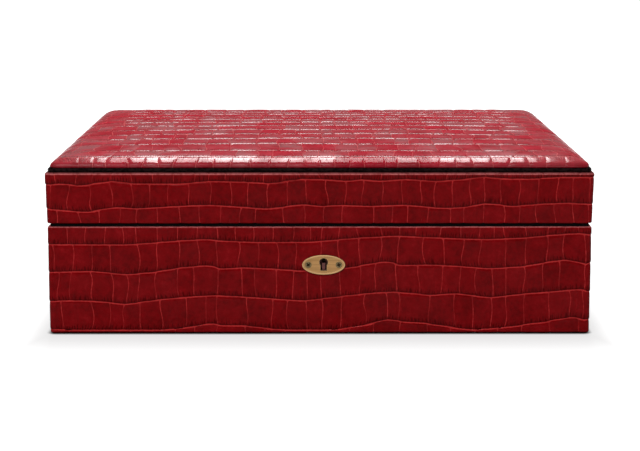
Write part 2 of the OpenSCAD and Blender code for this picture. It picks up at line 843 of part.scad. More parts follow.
module pad_foam() {
    foam_clear = 0.1;
    color(cream) difference() {
        pad_solid(pad_leather_t + foam_clear);
        span_box([-case_w, -case_d, band_top - 1], [case_w, case_d, pad_board_top]);
    }
}

module pad_leather() {
    window_x = pad_inner_w / 2 - pad_turn_w;
    window_y = pad_inner_d / 2 - pad_turn_w;
    color(red) difference() {
        pad_solid(0);
        pad_solid(pad_leather_t);
        span_box([-window_x, -window_y, band_top - 1], [window_x, window_y, pad_board_top]);
    }
}

module lid_top_lining() {
    color(cedar) difference() {
        translate([0, 0, lid_ceiling_z]) linear_extrude(lid_top_lining_t)
            square([lid_inner_w, lid_inner_d], center = true);
        translate([gauge_x, 0, lid_ceiling_z - 1]) cylinder(h = lid_top_lining_t + 2, r = cup_r);
    }
}

module lid_long_lining(side) {
    y = side * lid_inner_d / 2;
    color(cedar) span_box([-lid_inner_w / 2, y, lip_z + lip_gap],
                          [lid_inner_w / 2, y - side * lid_lining_t, lid_ceiling_z]);
}

module lid_end_lining(side) {
    x = side * lid_inner_w / 2;
    reach = lid_inner_d / 2 - lid_lining_t;
    color(cedar) span_box([x, -reach, lip_z + lip_gap],
                          [x - side * lid_lining_t, reach, lid_ceiling_z]);
}

module link_plate_seat() {
    w = rim_plate_w - 0.8;
    span_box([lock_x - rim_plate_l / 2, lock_mid_y - w / 2, lid_rim_z],
             [lock_x + rim_plate_l / 2, lock_mid_y + w / 2, lid_rim_z + rim_plate_t]);
}

// The link plate on the lid's rim: two links hang from it, each with a window
module link_plate() {
    window_z = link_z + link_foot;
    window_y = bolt_t / 2 + 0.2;
    color(brass) difference() {
        union() {
            link_plate_seat();
            for (s = [-1, 1])
                translate([lock_x + s * link_pitch / 2, lock_mid_y, 0])
                    span_box([-link_t / 2, -link_w / 2, link_z], [link_t / 2, link_w / 2, lid_rim_z + 1]);
        }
        for (s = [-1, 1])
            translate([lock_x + s * link_pitch / 2, lock_mid_y, 0])
                span_box([-link_t, -window_y, window_z], [link_t, window_y, window_z + window_h]);
        at_rim_screws() translate([0, 0, lid_rim_z]) mirror([0, 0, 1]) plate_screw();
    }
}

module link_plate_screws() {
    color(brass) at_rim_screws() translate([0, 0, lid_rim_z]) mirror([0, 0, 1]) plate_screw();
}

// A cup with a dished bezel. A shoulder in it carries the dial, and a boss in its
// middle is the bearing of the needle
module hygrometer_case() {
    back_z = dial_z + dial_t;
    floor_inside = lid_ceiling_z + lid_top_lining_t - cup_wall;
    color(brass) translate([gauge_x, 0, 0]) {
        difference() {
            union() {
                translate([0, 0, lid_ceiling_z]) cylinder(h = lid_top_lining_t, r = cup_r);
                translate([0, 0, bezel_z]) cylinder(h = bezel_t, r = bezel_r);
            }
            translate([0, 0, bezel_z - 1]) cylinder(h = back_z - bezel_z + 1, r = cup_bore_r);
            translate([0, 0, back_z - 1]) cylinder(h = floor_inside - back_z + 1, r = cup_bore_r - 1);
            translate([0, 0, bezel_z - 1]) cylinder(h = 1.8, r1 = cup_bore_r + 2.4, r2 = cup_bore_r);
        }
        difference() {
            translate([0, 0, back_z]) cylinder(h = floor_inside - back_z + tiny, r = 3);
            translate([0, 0, back_z - 1]) cylinder(h = floor_inside - back_z + 1, r = arbor_r + 0.05);
        }
    }
}

module hygrometer_dial() {
    color(cream) translate([gauge_x, 0, dial_z]) difference() {
        cylinder(h = dial_t, r = cup_bore_r - 0.1);
        cylinder(h = dial_t * 4, r = arbor_r + 0.3, center = true);
    }
}

module hygrometer_needle() {
    length = cup_bore_r - 4;
    tail = 5;
    // Seen from below, readings grow clockwise, and half scale points to the front
    turn = -90 + (rest_reading / 100 - 0.5) * needle_sweep;
    color(black) translate([gauge_x, 0, needle_z]) rotate(turn) {
        linear_extrude(needle_t) {
            polygon([[-tail, -0.9], [0, -0.6], [length, -0.15], [length, 0.15], [0, 0.6], [-tail, 0.9]]);
            circle(1.4);
        }
        cylinder(h = dial_z + dial_t + 0.6 - needle_z, r = arbor_r);
    }
}

module hygrometer_glass() {
    color([0.8, 0.9, 0.95, 0.3]) translate([gauge_x, 0, glass_z])
        cylinder(h = glass_t, r = cup_bore_r - 0.05);
}

module magnet_plate() {
    reach = magnet_x + magnet_r;
    color(steel) translate([humidifier_x, 0, 0])
        span_box([-reach, -steel_w / 2, steel_z], [reach, steel_w / 2, lid_ceiling_z]);
}

// The humidifier hangs mouth down: a case with a slotted cover below
module humidifier_case() {
    color(black) translate([humidifier_x, 0, 0]) difference() {
        translate([0, 0, humidifier_z + grille_t]) linear_extrude(humidifier_h - grille_t)
            rounded_rect(humidifier_l, humidifier_w, humidifier_corner_r);
        translate([0, 0, humidifier_z]) linear_extrude(humidifier_h - humidifier_wall - magnet_t)
            rounded_rect(humidifier_l - 2 * humidifier_wall, humidifier_w - 2 * humidifier_wall,
                         humidifier_corner_r - humidifier_wall);
        for (s = [-1, 1])
            translate([s * magnet_x, 0, humidifier_top - magnet_t])
                cylinder(h = magnet_t + 1, r = magnet_r + 0.1);
    }
}

module humidifier_grille() {
    pitch = (humidifier_l - 20) / grille_slots;
    slot_l = humidifier_w * 0.36;
    color(brass) translate([humidifier_x, 0, humidifier_z]) linear_extrude(grille_t) difference() {
        rounded_rect(humidifier_l, humidifier_w, humidifier_corner_r);
        for (k = [0:grille_slots - 1], row = [-1, 1])
            translate([(k - (grille_slots - 1) / 2) * pitch, row * slot_l * 0.62])
                square([pitch / 2, slot_l], center = true);
    }
}

module humidifier_foam() {
    gap = humidifier_wall + 0.2;
    height = humidifier_h - grille_t - humidifier_wall - magnet_t - 0.2;
    color([0.35, 0.5, 0.35]) translate([humidifier_x, 0, humidifier_z + grille_t]) linear_extrude(height)
        rounded_rect(humidifier_l - 2 * gap, humidifier_w - 2 * gap, humidifier_corner_r - gap);
}

module humidifier_magnets() {
    color(steel) for (s = [-1, 1])
        translate([humidifier_x + s * magnet_x, 0, humidifier_top - magnet_t])
            cylinder(h = magnet_t, r = magnet_r);
}

module tray_long_wall(side) {
    y = side * tray_d / 2;
    color(cedar)
        span_box([-tray_w / 2, y, tray_z], [tray_w / 2, y - side * tray_wall, tray_z + tray_h]);
}

module tray_end_wall(side) {
    x = side * tray_w / 2;
    top = tray_z + tray_h;
    // The finger scoop is a segment of a circle
    scoop_r = (pow(scoop_w / 2, 2) + pow(scoop_depth, 2)) / (2 * scoop_depth);
    color(cedar) difference() {
        span_box([x, -tray_inner_d / 2, tray_z], [x - side * tray_wall, tray_inner_d / 2, top]);
        translate([x, 0, top + scoop_r - scoop_depth]) rotate([0, 90, 0])
            cylinder(h = tray_wall * 3, r = scoop_r, center = true);
    }
}

module tray_partition() {
    color(cedar) translate([partition_x, 0, 0])
        span_box([-partition_t / 2, -tray_inner_d / 2, tray_z + slat_t],
                 [partition_t / 2, tray_inner_d / 2, tray_z + tray_h]);
}

module tray_slats() {
    inside = tray_w - 2 * tray_wall;
    slat_w = (inside - (slat_count - 1) * slat_gap) / slat_count;
    color(cedar) for (k = [0:slat_count - 1])
        translate([-inside / 2 + k * (slat_w + slat_gap), -tray_inner_d / 2, tray_z])
            cube([slat_w, tray_inner_d, slat_t]);
}

base_felt();
base_board();
body_front_board();
body_back_board();
body_side_board(3);  // body_left_board
body_side_board(1);  // body_right_board
body_leather();
floor_lining();
long_lining(-1);  // front_lining
long_lining(1);  // back_lining
end_lining(-1);  // left_lining
end_lining(1);  // right_lining
rim_seal();
divider();
tray_cleats();
lock_case();
lock_cap();
lock_bolt();
lock_screws();
escutcheon();
escutcheon_screws();
hinge_leaf(-hinge_x, -1);  // left_hinge_body_leaf
hinge_leaf(hinge_x, -1);  // right_hinge_body_leaf
hinge_pins();
hinge_body_screws();
lid_side_board(0);  // lid_front_board
lid_side_board(2);  // lid_back_board
lid_side_board(3);  // lid_left_board
lid_side_board(1);  // lid_right_board
lid_top_board();
lid_leather();
lid_band();
pad_board();
pad_foam();
pad_leather();
lid_top_lining();
lid_long_lining(-1);  // lid_front_lining
lid_long_lining(1);  // lid_back_lining
lid_end_lining(-1);  // lid_left_lining
lid_end_lining(1);  // lid_right_lining
link_plate();
link_plate_screws();
hinge_leaf(-hinge_x, 1);  // left_hinge_lid_leaf
hinge_leaf(hinge_x, 1);  // right_hinge_lid_leaf
hinge_lid_screws();
hygrometer_case();
hygrometer_dial();
hygrometer_needle();
hygrometer_glass();
magnet_plate();
humidifier_case();
humidifier_grille();
humidifier_foam();
humidifier_magnets();
tray_long_wall(-1);  // tray_front
tray_long_wall(1);  // tray_back
tray_end_wall(-1);  // tray_left
tray_end_wall(1);  // tray_right
tray_partition();
tray_slats();
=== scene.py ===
import math

import bpy
import numpy as np
from mathutils import Matrix, Vector


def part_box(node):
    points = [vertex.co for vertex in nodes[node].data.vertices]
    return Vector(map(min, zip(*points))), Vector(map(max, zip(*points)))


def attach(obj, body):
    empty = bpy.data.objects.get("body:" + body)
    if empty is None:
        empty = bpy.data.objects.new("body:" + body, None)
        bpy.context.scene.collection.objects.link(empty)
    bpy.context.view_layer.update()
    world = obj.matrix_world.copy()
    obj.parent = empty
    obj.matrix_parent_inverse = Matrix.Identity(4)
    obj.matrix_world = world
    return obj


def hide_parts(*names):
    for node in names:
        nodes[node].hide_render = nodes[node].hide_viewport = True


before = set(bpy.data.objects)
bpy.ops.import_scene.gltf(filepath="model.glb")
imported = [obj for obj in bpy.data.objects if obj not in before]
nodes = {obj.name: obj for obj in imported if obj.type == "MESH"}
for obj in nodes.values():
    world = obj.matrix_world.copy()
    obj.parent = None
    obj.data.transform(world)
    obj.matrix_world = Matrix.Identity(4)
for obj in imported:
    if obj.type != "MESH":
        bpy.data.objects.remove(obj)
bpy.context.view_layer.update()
mm = 0.001
print("frame loaded:", len(nodes), "CAD nodes")


# Objects

def selectOnly(*objects):
    bpy.ops.object.select_all(action="DESELECT")
    for obj in objects:
        obj.select_set(True)
    bpy.context.view_layer.objects.active = objects[0]


def applyAll(obj):
    selectOnly(obj)
    for name in [m.name for m in obj.modifiers]:
        bpy.ops.object.modifier_apply(modifier=name)


def addShape(adder, name, grow=(1, 1, 1), **settings):
    # a new shape whose place goes into its mesh, so that the object sits at the origin
    bpy.ops.object.select_all(action="DESELECT")
    adder(**settings)
    made = bpy.context.object
    made.name, made.scale = name, grow
    bpy.ops.object.transform_apply(location=True, rotation=True, scale=True)
    return made


def addBox(name, low, high):
    low, high = Vector(low), Vector(high)
    return addShape(bpy.ops.mesh.primitive_cube_add, name, high - low, size=1, location=(low + high) / 2)


def addRod(name, radius, near, far, segments=48, top=None):
    # a rod or cone along y
    near, far = Vector(near), Vector(far)
    return addShape(bpy.ops.mesh.primitive_cone_add, name, vertices=segments, radius1=radius,
                    radius2=top or radius, depth=(far - near).length, location=(near + far) / 2,
                    rotation=(math.pi / 2, 0, 0))


def dropMaps(mesh):
    while mesh.uv_layers:
        mesh.uv_layers.remove(mesh.uv_layers[0])


def cutWith(obj, cutter, inside):
    # the new faces take the cutter's material
    cutter.data.materials.append(inside)
    dropMaps(cutter.data)
    cut = obj.modifiers.new("cut", "BOOLEAN")
    cut.operation, cut.object, cut.solver, cut.material_mode = "DIFFERENCE", cutter, "EXACT", "TRANSFER"
    applyAll(obj)
    bpy.data.objects.remove(cutter)


def pick(obj, kind, items, test):
    # goes to edit mode with only the edges or faces selected that pass the test
    selectOnly(obj)
    bpy.ops.object.mode_set(mode="EDIT")
    bpy.ops.mesh.select_mode(type=kind)
    bpy.ops.mesh.select_all(action="DESELECT")
    bpy.ops.object.mode_set(mode="OBJECT")
    for item in items:
        item.select = test(item)
    bpy.ops.object.mode_set(mode="EDIT")


def finishPiece(obj, name, body, replaced=(), smoothAngle=None):
    obj.name = obj.data.name = name
    selectOnly(obj)
    if smoothAngle is None:
        bpy.ops.object.shade_smooth()
    else:
        bpy.ops.object.shade_smooth_by_angle(angle=math.radians(smoothAngle))
    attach(obj, body)
    if replaced:
        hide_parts(*replaced)


# Shader trees

drawing = {"tree": None}  # the tree that new nodes go into


class Signal:
    # a shader value that adds, subtracts and multiplies like a number
    def __init__(self, socket):
        self.socket = socket

    def __add__(self, other):
        return maths("ADD", self, other)

    def __sub__(self, other):
        return maths("SUBTRACT", self, other)

    def __rsub__(self, other):
        return maths("SUBTRACT", other, self)

    def __mul__(self, other):
        return maths("MULTIPLY", self, other)

    __radd__, __rmul__ = __add__, __mul__


def wire(value, socket):
    if isinstance(value, Signal):
        drawing["tree"].links.new(value.socket, socket)
    elif socket.type == "RGBA":
        socket.default_value = (*value, 1)
    else:
        socket.default_value = value


def put(kind, inputs=None, result=0, **settings):
    # adds a node and gives one of its outputs
    made = drawing["tree"].nodes.new("ShaderNode" + kind)
    for name, value in settings.items():
        setattr(made, name, value)
    for name, value in (inputs or {}).items():
        wire(value, made.inputs[name])
    return Signal(made.outputs[result])


def several(kind, inputs=None, **settings):
    # adds a node and gives all its outputs, by name
    return {out.name: Signal(out) for out in put(kind, inputs, **settings).socket.node.outputs}


def maths(operation, *values, clamp=False):
    return put("Math", dict(enumerate(values)), operation=operation, use_clamp=clamp)


def vectorMaths(operation, *values, result=0):
    return put("VectorMath", dict(enumerate(values)), result, operation=operation)


def highest(first, *others):
    for other in others:
        first = maths("MAXIMUM", first, other)
    return first


def overhang(x, y):
    # how far a place lies past a corner, from its distances past the two sides
    x, y = highest(x, 0.0), highest(y, 0.0)
    return maths("SQRT", x * x + y * y)


def fade(value, start, end, low=0.0, high=1.0):
    return put("MapRange", {"Value": value, "From Min": start, "From Max": end, "To Min": low,
                            "To Max": high}, interpolation_type="SMOOTHSTEP")


def blend(factor, first, second):
    return put("Mix", {0: factor, 6: first, 7: second}, 2, data_type="RGBA")


def noise(vector, scale, detail=2.0, rough=0.5, distort=0.0, dims="3D"):
    return put("TexNoise", {"Vector": vector, "Scale": scale, "Detail": detail, "Roughness": rough,
                            "Distortion": distort}, "Fac", noise_dimensions=dims)


def stretch(vector, scale=(1, 1, 1), turn=(0, 0, 0), shift=(0, 0, 0)):
    return put("Mapping", {"Vector": vector, "Scale": scale, "Rotation": turn, "Location": shift})


def axes(vector):
    return list(several("SeparateXYZ", {0: vector}).values())


def newMaterial(name):
    material = bpy.data.materials.new(name)
    material.use_nodes = True
    drawing["tree"] = material.node_tree
    return material, put("TexCoord", result="Object")


def dress(material, inputs, height=None, strength=0.0, distance=0.0, invert=False):
    # wires the shader's own sockets, with the height as its bump
    if height:
        inputs["Normal"] = put("Bump", {"Height": height, "Strength": strength, "Distance": distance},
                               invert=invert)
    shader = material.node_tree.nodes["Principled BSDF"]
    for name, value in inputs.items():
        wire(value, shader.inputs[name])
    return material


def newGroup(name, inputs, outputs):
    # inputs holds each value's default, or None for a vector
    group = drawing["tree"] = bpy.data.node_groups.new(name, "ShaderNodeTree")
    for title, value in inputs.items():
        kind = "NodeSocketVector" if value is None else "NodeSocketFloat"
        socket = group.interface.new_socket(title, in_out="INPUT", socket_type=kind)
        if value is not None:
            socket.default_value = value
    for title in outputs:
        group.interface.new_socket(title, in_out="OUTPUT", socket_type="NodeSocketFloat")
    given = {out.name: Signal(out) for out in group.nodes.new("NodeGroupInput").outputs}
    return group, given, group.nodes.new("NodeGroupOutput").inputs


def useGroup(group, place, **inputs):
    return list(several("Group", {"Vector": place, **inputs}, node_tree=group).values())


# Effects that several finishes share

def makeEdgeWear():
    # 1 where the surface turns over an edge, from the difference between sharp and softened normals
    group, given, result = newGroup("edgeWear", {"Width": 0.0006, "Breakup": 0.5, "Vector": None}, ["Mask"])
    soft = put("Bevel", {"Radius": given["Width"]}, samples=4)
    closeness = vectorMaths("DOT_PRODUCT", soft, put("NewGeometry", result="Normal"), result="Value")
    patches = noise(given["Vector"], 700, 3, 0.7)
    broken = maths("SUBTRACT", fade(closeness, 0.999, 0.86), patches * given["Breakup"], clamp=True)
    wire(maths("MULTIPLY", broken, 1.6, clamp=True), result["Mask"])
    return group


def makeFineGrain():
    # small soft unevenness: a height for bump and a spread for roughness
    group, given, result = newGroup("fineGrain", {"Vector": None, "Size": 900.0}, ["Height", "Patches"])
    wire(noise(given["Vector"], given["Size"], 4, 0.6), result["Height"])
    wire(noise(given["Vector"], given["Size"] * 0.04, 3, 0.6), result["Patches"])
    return group


def makeWoodGrain():
    # growth rings cut along the board, fine pores, and a slow change of tone. The grain runs along x
    group, given, result = newGroup("woodGrain", {"Vector": None, "Size": 160.0}, ["Rings", "Pores", "Tone"])
    long = stretch(given["Vector"], (0.045, 1, 1))
    warped = vectorMaths("ADD", long, vectorMaths("MULTIPLY", noise(long, 26), (0.0, 0.02, 0.03)))
    wave = put("TexWave", {"Vector": warped, "Scale": given["Size"], "Distortion": 5.0, "Detail": 3.0,
                           "Detail Scale": 1.4}, "Fac",
               wave_type="BANDS", bands_direction="Y", wave_profile="SAW")
    wire(wave, result["Rings"])
    wire(fade(noise(stretch(given["Vector"], (0.03, 1, 1)), 1500, 3, 0.75), 0.46, 0.66), result["Pores"])
    wire(noise(long, 9, 3), result["Tone"])
    return group


def makeBrushing():
    # fine scratches along x
    group, given, result = newGroup("brushing", {"Vector": None, "Length": 0.02}, ["Height", "Streaks"])
    along = put("CombineXYZ", {"X": given["Length"], "Y": 1.0, "Z": 1.0})
    thin = vectorMaths("MULTIPLY", given["Vector"], along)
    wire(noise(thin, 5200, 3, 0.7), result["Height"])
    wire(noise(thin, 900, 3, 0.6), result["Streaks"])
    return group


def makeRoundedGap():
    # distance to the lines round a scale whose corners are rounded
    group, given, result = newGroup("roundedGap", {"Across": 1.0, "Down": 1.0, "Round": 1.5}, ["Gap"])
    past = overhang(given["Round"] - given["Across"], given["Round"] - given["Down"])
    wire(given["Round"] - past, result["Gap"])
    return group


edgeWear, fineGrain, roundedGap = makeEdgeWear(), makeFineGrain(), makeRoundedGap()
woodGrain, brushing = makeWoodGrain(), makeBrushing()


# The embossed leather

leather = {
    "dark": (0.185, 0.0007, 0.0018),
    "mid": (0.285, 0.0016, 0.0038),
    "bright": (0.400, 0.0060, 0.0100),
    "groove": (0.780, 0.0480, 0.0480),
    "shade": (0.060, 0.0004, 0.0008),
    "roughness": 0.5,
    "coat": 0.085,
    "coatRoughness": 0.13,
    # the colours of a painted highlight on the folded upper edges and of painted shade under the foot and on
    # the lid's rim; wear sets how strong that highlight and the rim's shade are
    "edgeHighlight": (0.88, 0.24, 0.24),
    "deepShade": (0.012, 0.0010, 0.0012),
    "wear": 0.7,
    "cornerRound": 1.5,
    "rowHalf": 0.62,
    "columnHalf": 0.38,
    "tickPitch": 1.6,
    "tickShade": 0.64,
    "tickUnder": 0.0,
    "dullest": 0.9,
    "uneven": 0.1,
    "relief": 0.00016,
    "grain": 1.0,
}
# the padded hide: the same leather painted brighter for the stronger light from above, and with a glossier
# coat
padHideLit = dict(
    leather, dark=(0.300, 0.0020, 0.0100), mid=(0.430, 0.0060, 0.0220), bright=(0.540, 0.0170, 0.0360),
    groove=(0.70, 0.13, 0.13), coat=0.72, coatRoughness=0.12, grain=0.5, relief=0.0003, rowHalf=0.4,
    columnHalf=0.32, tickPitch=1.5, tickShade=0.4, tickUnder=7.0, dullest=0.6, uneven=0.55, wear=0.0)


def makeLeather(name, look):
    material, place = newMaterial(name)
    scaleMap, gapMap, runMap = (put("UVMap", uv_map=layer) for layer in ("scaleMap", "gapMap", "runMap"))
    # gapX is the distance to the nearest upright groove, gapY the height over the nearest row
    # line, negative below it, both in millimetres
    gapX, gapY, _ = axes(gapMap)
    runX = axes(runMap)[0]
    dice = put("TexWhiteNoise", {"Vector": vectorMaths("FLOOR", scaleMap)}, "Color", noise_dimensions="2D")
    luck = list(several("SeparateColor", {0: dice}).values())
    patches = noise(place, 170, 3, 0.6, 0.4)
    mottle = noise(place, 460, 4, 0.65, 0.6)
    shake = (noise(place, 560) - 0.5) * 0.6
    over = fade(gapY, -0.1, 0.1)

    # grooves with rounded corners, fainter in places, painted paler: a two-tone finish, and on the row lines
    # also a painted highlight where their lower lips face the light from above
    rowGap = maths("ABSOLUTE", gapY) + shake
    cornerGap = several("Group", {"Across": gapX + shake, "Down": rowGap + over * look["cornerRound"],
                                  "Round": look["cornerRound"]}, node_tree=roundedGap)["Gap"]
    nearFoot = over * fade(gapY, 2.6, 0.6, 0.0, 0.75)
    columnStrength = fade(noise(place, 80, 2, 0.6), 0.34, 0.62, 0.25, 0.75) * (1.0 - nearFoot)
    rowStrength = fade(noise(place, 60, 2, 0.6), 0.30, 0.60, 0.70, 1.0)
    line = highest(fade(cornerGap, look["columnHalf"], 0.05) * columnStrength,
                   fade(rowGap, look["rowHalf"], 0.1) * rowStrength)

    # short upright wrinkles over each row line, of uneven reach
    sway = noise(stretch(runMap, (1.0, 0.15, 1)), 0.16, dims="2D")
    ticks = fade(maths("SINE", runX * (2 * math.pi / look["tickPitch"]) + sway * 26.0), 0.0, 0.85)
    tickLuck = noise(stretch(runMap, (1.0, 0.12, 1)), 0.55, 2, 0.6, dims="2D")
    tickReach = fade(tickLuck, 0.32, 0.68, 2.2, 5.0)
    above = fade(gapY, tickReach, tickReach * 0.5) * fade(gapY, 0.0, 0.4)
    below = fade(gapY, -look["tickUnder"] - 0.5, -0.5 * look["tickUnder"] - 0.4) * fade(gapY, -0.2, -0.4)
    tickMask = ticks * highest(above, below * fade(tickLuck, 0.4, 0.6))
    # painted shade: a thin dark line along the upper side of each row line, under a soft wide painted shade
    paintedRowShade = fade(gapY, 1.5, 0.7) * over * 0.34 + fade(gapY, 5.5, 0.5) * over * 0.2
    # long faint creases on some scales
    creaseNoise = noise(stretch(runMap, (1.0, 0.05, 1)), 0.62, 3, 0.6, 0.2, "2D")
    creases = fade(creaseNoise, 0.56, 0.7) * fade(luck[1], 0.45, 0.8)

    # painted highlight: the folded upper edges are painted pale where they turn towards the light from above,
    # the lid's a little lower down
    facing, height = axes(put("TexCoord", result="Normal"))[2], axes(place)[2]
    onLid = fade(height, 0.090, 0.092)
    paintedEdgeLight = fade(facing, 0.42 - onLid * 0.34, 0.78 - onLid * 0.36) * fade(mottle, 0.35, 0.6, 0.45, 1.0)
    # painted shade under the foot of the box, and on the lid's rim beside the band
    footAndRimShade = highest(fade(facing, -0.3, -0.7) * fade(height, 0.006, 0.003),
                   fade(facing, 0.5, 0.8) * onLid * look["wear"])

    tone = noise(place, 55, 4, 0.62) * 0.65 + patches * 0.55 + mottle * 0.42 + luck[2] * 0.05
    colour = blend(fade(tone, 0.62, 0.92), look["dark"], look["mid"])
    for share, paint in (
            (fade(tone, 0.86, 1.12), "bright"),
            (fade(noise(place, 1500, 3, 0.65), 0.50, 0.75) * 0.35, "dark"), (creases * 0.3, "dark"),
            # painted shade: the strip over each row line and the upright wrinkles are darkened to the shade
            # colour
            (paintedRowShade, "shade"), (tickMask * look["tickShade"], "shade"), (line, "groove"),
            # a painted highlight on the upper edges, and painted shade under the foot and on the lid's rim
            (paintedEdgeLight * look["wear"], "edgeHighlight"), (footAndRimShade, "deepShade")):
        colour = blend(share, colour, look[paint])

    # the coat is uneven, and dull in the grooves
    polish = fade(luck[1], 0.1, 0.8, look["dullest"], 1.1) * look["coat"]
    polish = polish * fade(noise(place, 42, 3, 0.6), 0.38, 0.62, 1.0 - look["uneven"], 1.05)
    dull = highest(line * 0.8, tickMask * 0.5)
    # relief too small for the mesh
    pores = put("TexVoronoi", {"Vector": place, "Scale": 1250.0}, "Distance", feature="F1")
    grain = fade(pores, 0.0, 0.5) * 0.12 - creases * 0.25 + patches * 0.6 + mottle * 0.3
    return dress(material, {
        "Base Color": colour, "Roughness": patches * 0.16 + (look["roughness"] - 0.08),
        "Coat Weight": (1.0 - dull) * polish, "Coat Roughness": look["coatRoughness"], "Coat IOR": 1.5,
        "Specular IOR Level": 0.0}, grain * look["grain"] - tickMask * 0.9 - line * 0.35, 0.8, look["relief"])


def makeLeatherEdge():
    # the cut edge of the hide, seen in the hinge notches and the keyhole
    material, place = newMaterial("leatherEdge")
    fibres = noise(stretch(place, (1, 1, 3)), 2200, 3, 0.7)
    return dress(material, {"Base Color": blend(fibres, (0.09, 0.008, 0.008), (0.24, 0.06, 0.04)),
                            "Roughness": 0.85}, fibres, 0.4, 0.0002)


crocLeather, padLeather = makeLeather("crocLeather", leather), makeLeather("padHideLit", padHideLit)
leatherEdge = makeLeatherEdge()


# Scales. A skin is a grid: its columns run across the scales, its rows are set on the row
# lines, and between two lines the columns are drawn onto the upright grooves

insideScale = (0.035, 0.08, 0.15, 0.25, 0.37, 0.5, 0.63, 0.75, 0.85, 0.92, 0.965)
insidePadScale = (0.03, 0.07, 0.14, 0.24, 0.36, 0.5, 0.64, 0.76, 0.86, 0.93, 0.965, 0.986)


def smoothClosed(values, spread):
    # a soft blur along a closed run
    reach = np.arange(-3 * spread, 3 * spread + 1)
    weights = np.exp(-0.5 * (reach / spread) ** 2)
    wrapped = np.concatenate([values[-3 * spread:], values, values[:3 * spread]])
    return np.convolve(wrapped, weights / weights.sum(), "valid")


def fillColumns(rng, start, end, pitch=12.4):
    count = max(int(round((end - start) / pitch)), 1)
    widths = rng.uniform(0.72, 1.28, count)
    return start + np.cumsum(widths) / widths.sum() * (end - start)


def gentleFlow(rng, across, down, length, size=0.8):
    # slow sideways drift, so that upright grooves lean and curve a little
    drift = np.zeros_like(down)
    for wave in range(6):
        turns = rng.integers(6, 30)
        drift += np.sin(2 * math.pi * turns * across / length + rng.uniform(0, 6.3)
                        + down * rng.uniform(0.06, 0.2)) / 6
    return drift * 2.2 * size


def embossScales(rng, even, heights, bandRow, lines, grooves, form, closed=False):
    # even holds the columns' places, heights the rows' run down the skin, bandRow the row of
    # scales that each band of faces belongs to, or -1 where the hide is plain
    rows, cols = heights.shape
    length = even[-1] - even[0]
    wide = np.concatenate([even[:-1] - length, even, even[1:] + length])

    def whereIn(cuts, places):
        # each place's number between the grooves, the groove on its left and the distance to one
        number = np.interp(places, cuts, np.arange(len(cuts)))
        left = np.clip(np.floor(number).astype(int), 0, len(cuts) - 2)
        return number, left, np.minimum(np.abs(places - cuts[left]), np.abs(cuts[left + 1] - places))

    drawn, bends, counts = {-1: even}, [], []
    for row, cuts in enumerate(grooves):
        nearest = wide[np.round(np.interp(cuts, wide, np.arange(len(wide)))).astype(int)]
        number, left, _ = whereIn(nearest, even)
        inside = number - left
        inside -= form["crowd"] * np.sin(2 * math.pi * inside) / (2 * math.pi)
        drawn[row] = cuts[left] + inside * (cuts[left + 1] - cuts[left])
        counts.append(int(np.sum((cuts >= 0) & (cuts < even[-1]))) if closed else len(cuts))
        bends.append(rng.normal(0, form["bend"], (2, counts[row]))[:, np.arange(len(cuts)) % counts[row]])

    luck = [rng.uniform(-1, 1, (3, count + 3)) for count in counts]
    along, lift, sway = np.zeros((3, rows, cols))
    bulgeAt, bulgeReach, plainLift = 1.7, 1.9, 0.75
    for q in range(rows):
        over, under = bandRow[max(q - 1, 0)], bandRow[min(q, len(bandRow) - 1)]
        along[q] = (drawn[over] + drawn[under]) / 2
        row = under if under >= 0 else over
        if row < 0:
            continue
        top, foot = lines[row]
        number, left, gap = whereIn(grooves[row], along[q])
        fromTop, fromFoot = heights[q] - top, foot - heights[q]
        share = np.clip(fromTop / (foot - top), 0, 1)
        bow, curl = (np.interp(along[q], grooves[row], bend) for bend in bends[row])
        sway[q] = bow * np.sin(math.pi * share) + 0.5 * curl * np.sin(2 * math.pi * share)
        corner = form["round"] - np.hypot(np.maximum(form["round"] - gap, 0),
                                          np.maximum(form["round"] - np.abs(fromTop), 0))
        sides = 1 - np.exp(-np.maximum(np.where(gap < form["round"], corner, gap), 0) / form["shoulder"])
        roof = 1 - np.exp(-np.maximum(fromTop, 0) / form["topShoulder"])
        toe = (1 - np.exp(-np.maximum(fromFoot, 0) / form["footShoulder"])) * (
            1 + form["bulge"] * np.exp(-((fromFoot - bulgeAt) / bulgeReach) ** 2))
        own = luck[row][:, left % counts[row] if closed else left]
        tilt = own[0] * form["rise"] + own[1] * form["lean"] * (number - left - 0.5) \
            + (own[2] + form["nod"]) * form["lean"] * (share - 0.5) + form["arch"] * 4 * share * (1 - share)
        lift[q] = form["depth"] * (sides * roof * toe - plainLift) + sides * roof * np.minimum(toe, 1) * tilt
    swell = np.zeros_like(lift)
    for wave in range(5):
        turns = rng.integers(8, 34) * 2 * math.pi / length
        swell += np.sin(turns * along + heights * rng.uniform(-0.2, 0.2) + rng.uniform(0, 6.3)) / 5
    lift += swell * form["swell"]

    maps, farAway = np.zeros((len(bandRow), 2, cols, 6)), 5.0
    for q, row in enumerate(bandRow):
        for side in (0, 1):
            s, t, here = along[(q + side) % rows], heights[(q + side) % rows], maps[q, side]
            here[:, 4], here[:, 5] = s, t
            if row < 0:
                here[:, 2:4] = farAway
                continue
            top, foot = lines[row]
            number, _, gap = whereIn(grooves[row], s)
            middle = (heights[q] + heights[(q + 1) % rows]) / 2 - (top + foot) / 2
            here[:, 0], here[:, 1] = number, row + np.clip((t - top) / (foot - top), 0.001, 0.999)
            here[:, 2], here[:, 3] = gap, np.where(middle > 0, foot - t, top - t)
    return along, lift, maps, counts, sway


def addSheet(columns, rows, spots, *materials):
    # a grid with its corners at the given places
    sheet = addShape(bpy.ops.mesh.primitive_grid_add, "sheet", x_subdivisions=columns - 1,
                     y_subdivisions=rows - 1, size=1)
    dropMaps(sheet.data)
    sheet.data.vertices.foreach_set("co", (spots.reshape(-1, 3) * mm).astype(np.float32).ravel())
    sheet.data.update()
    for material in materials:
        sheet.data.materials.append(material)
    return sheet


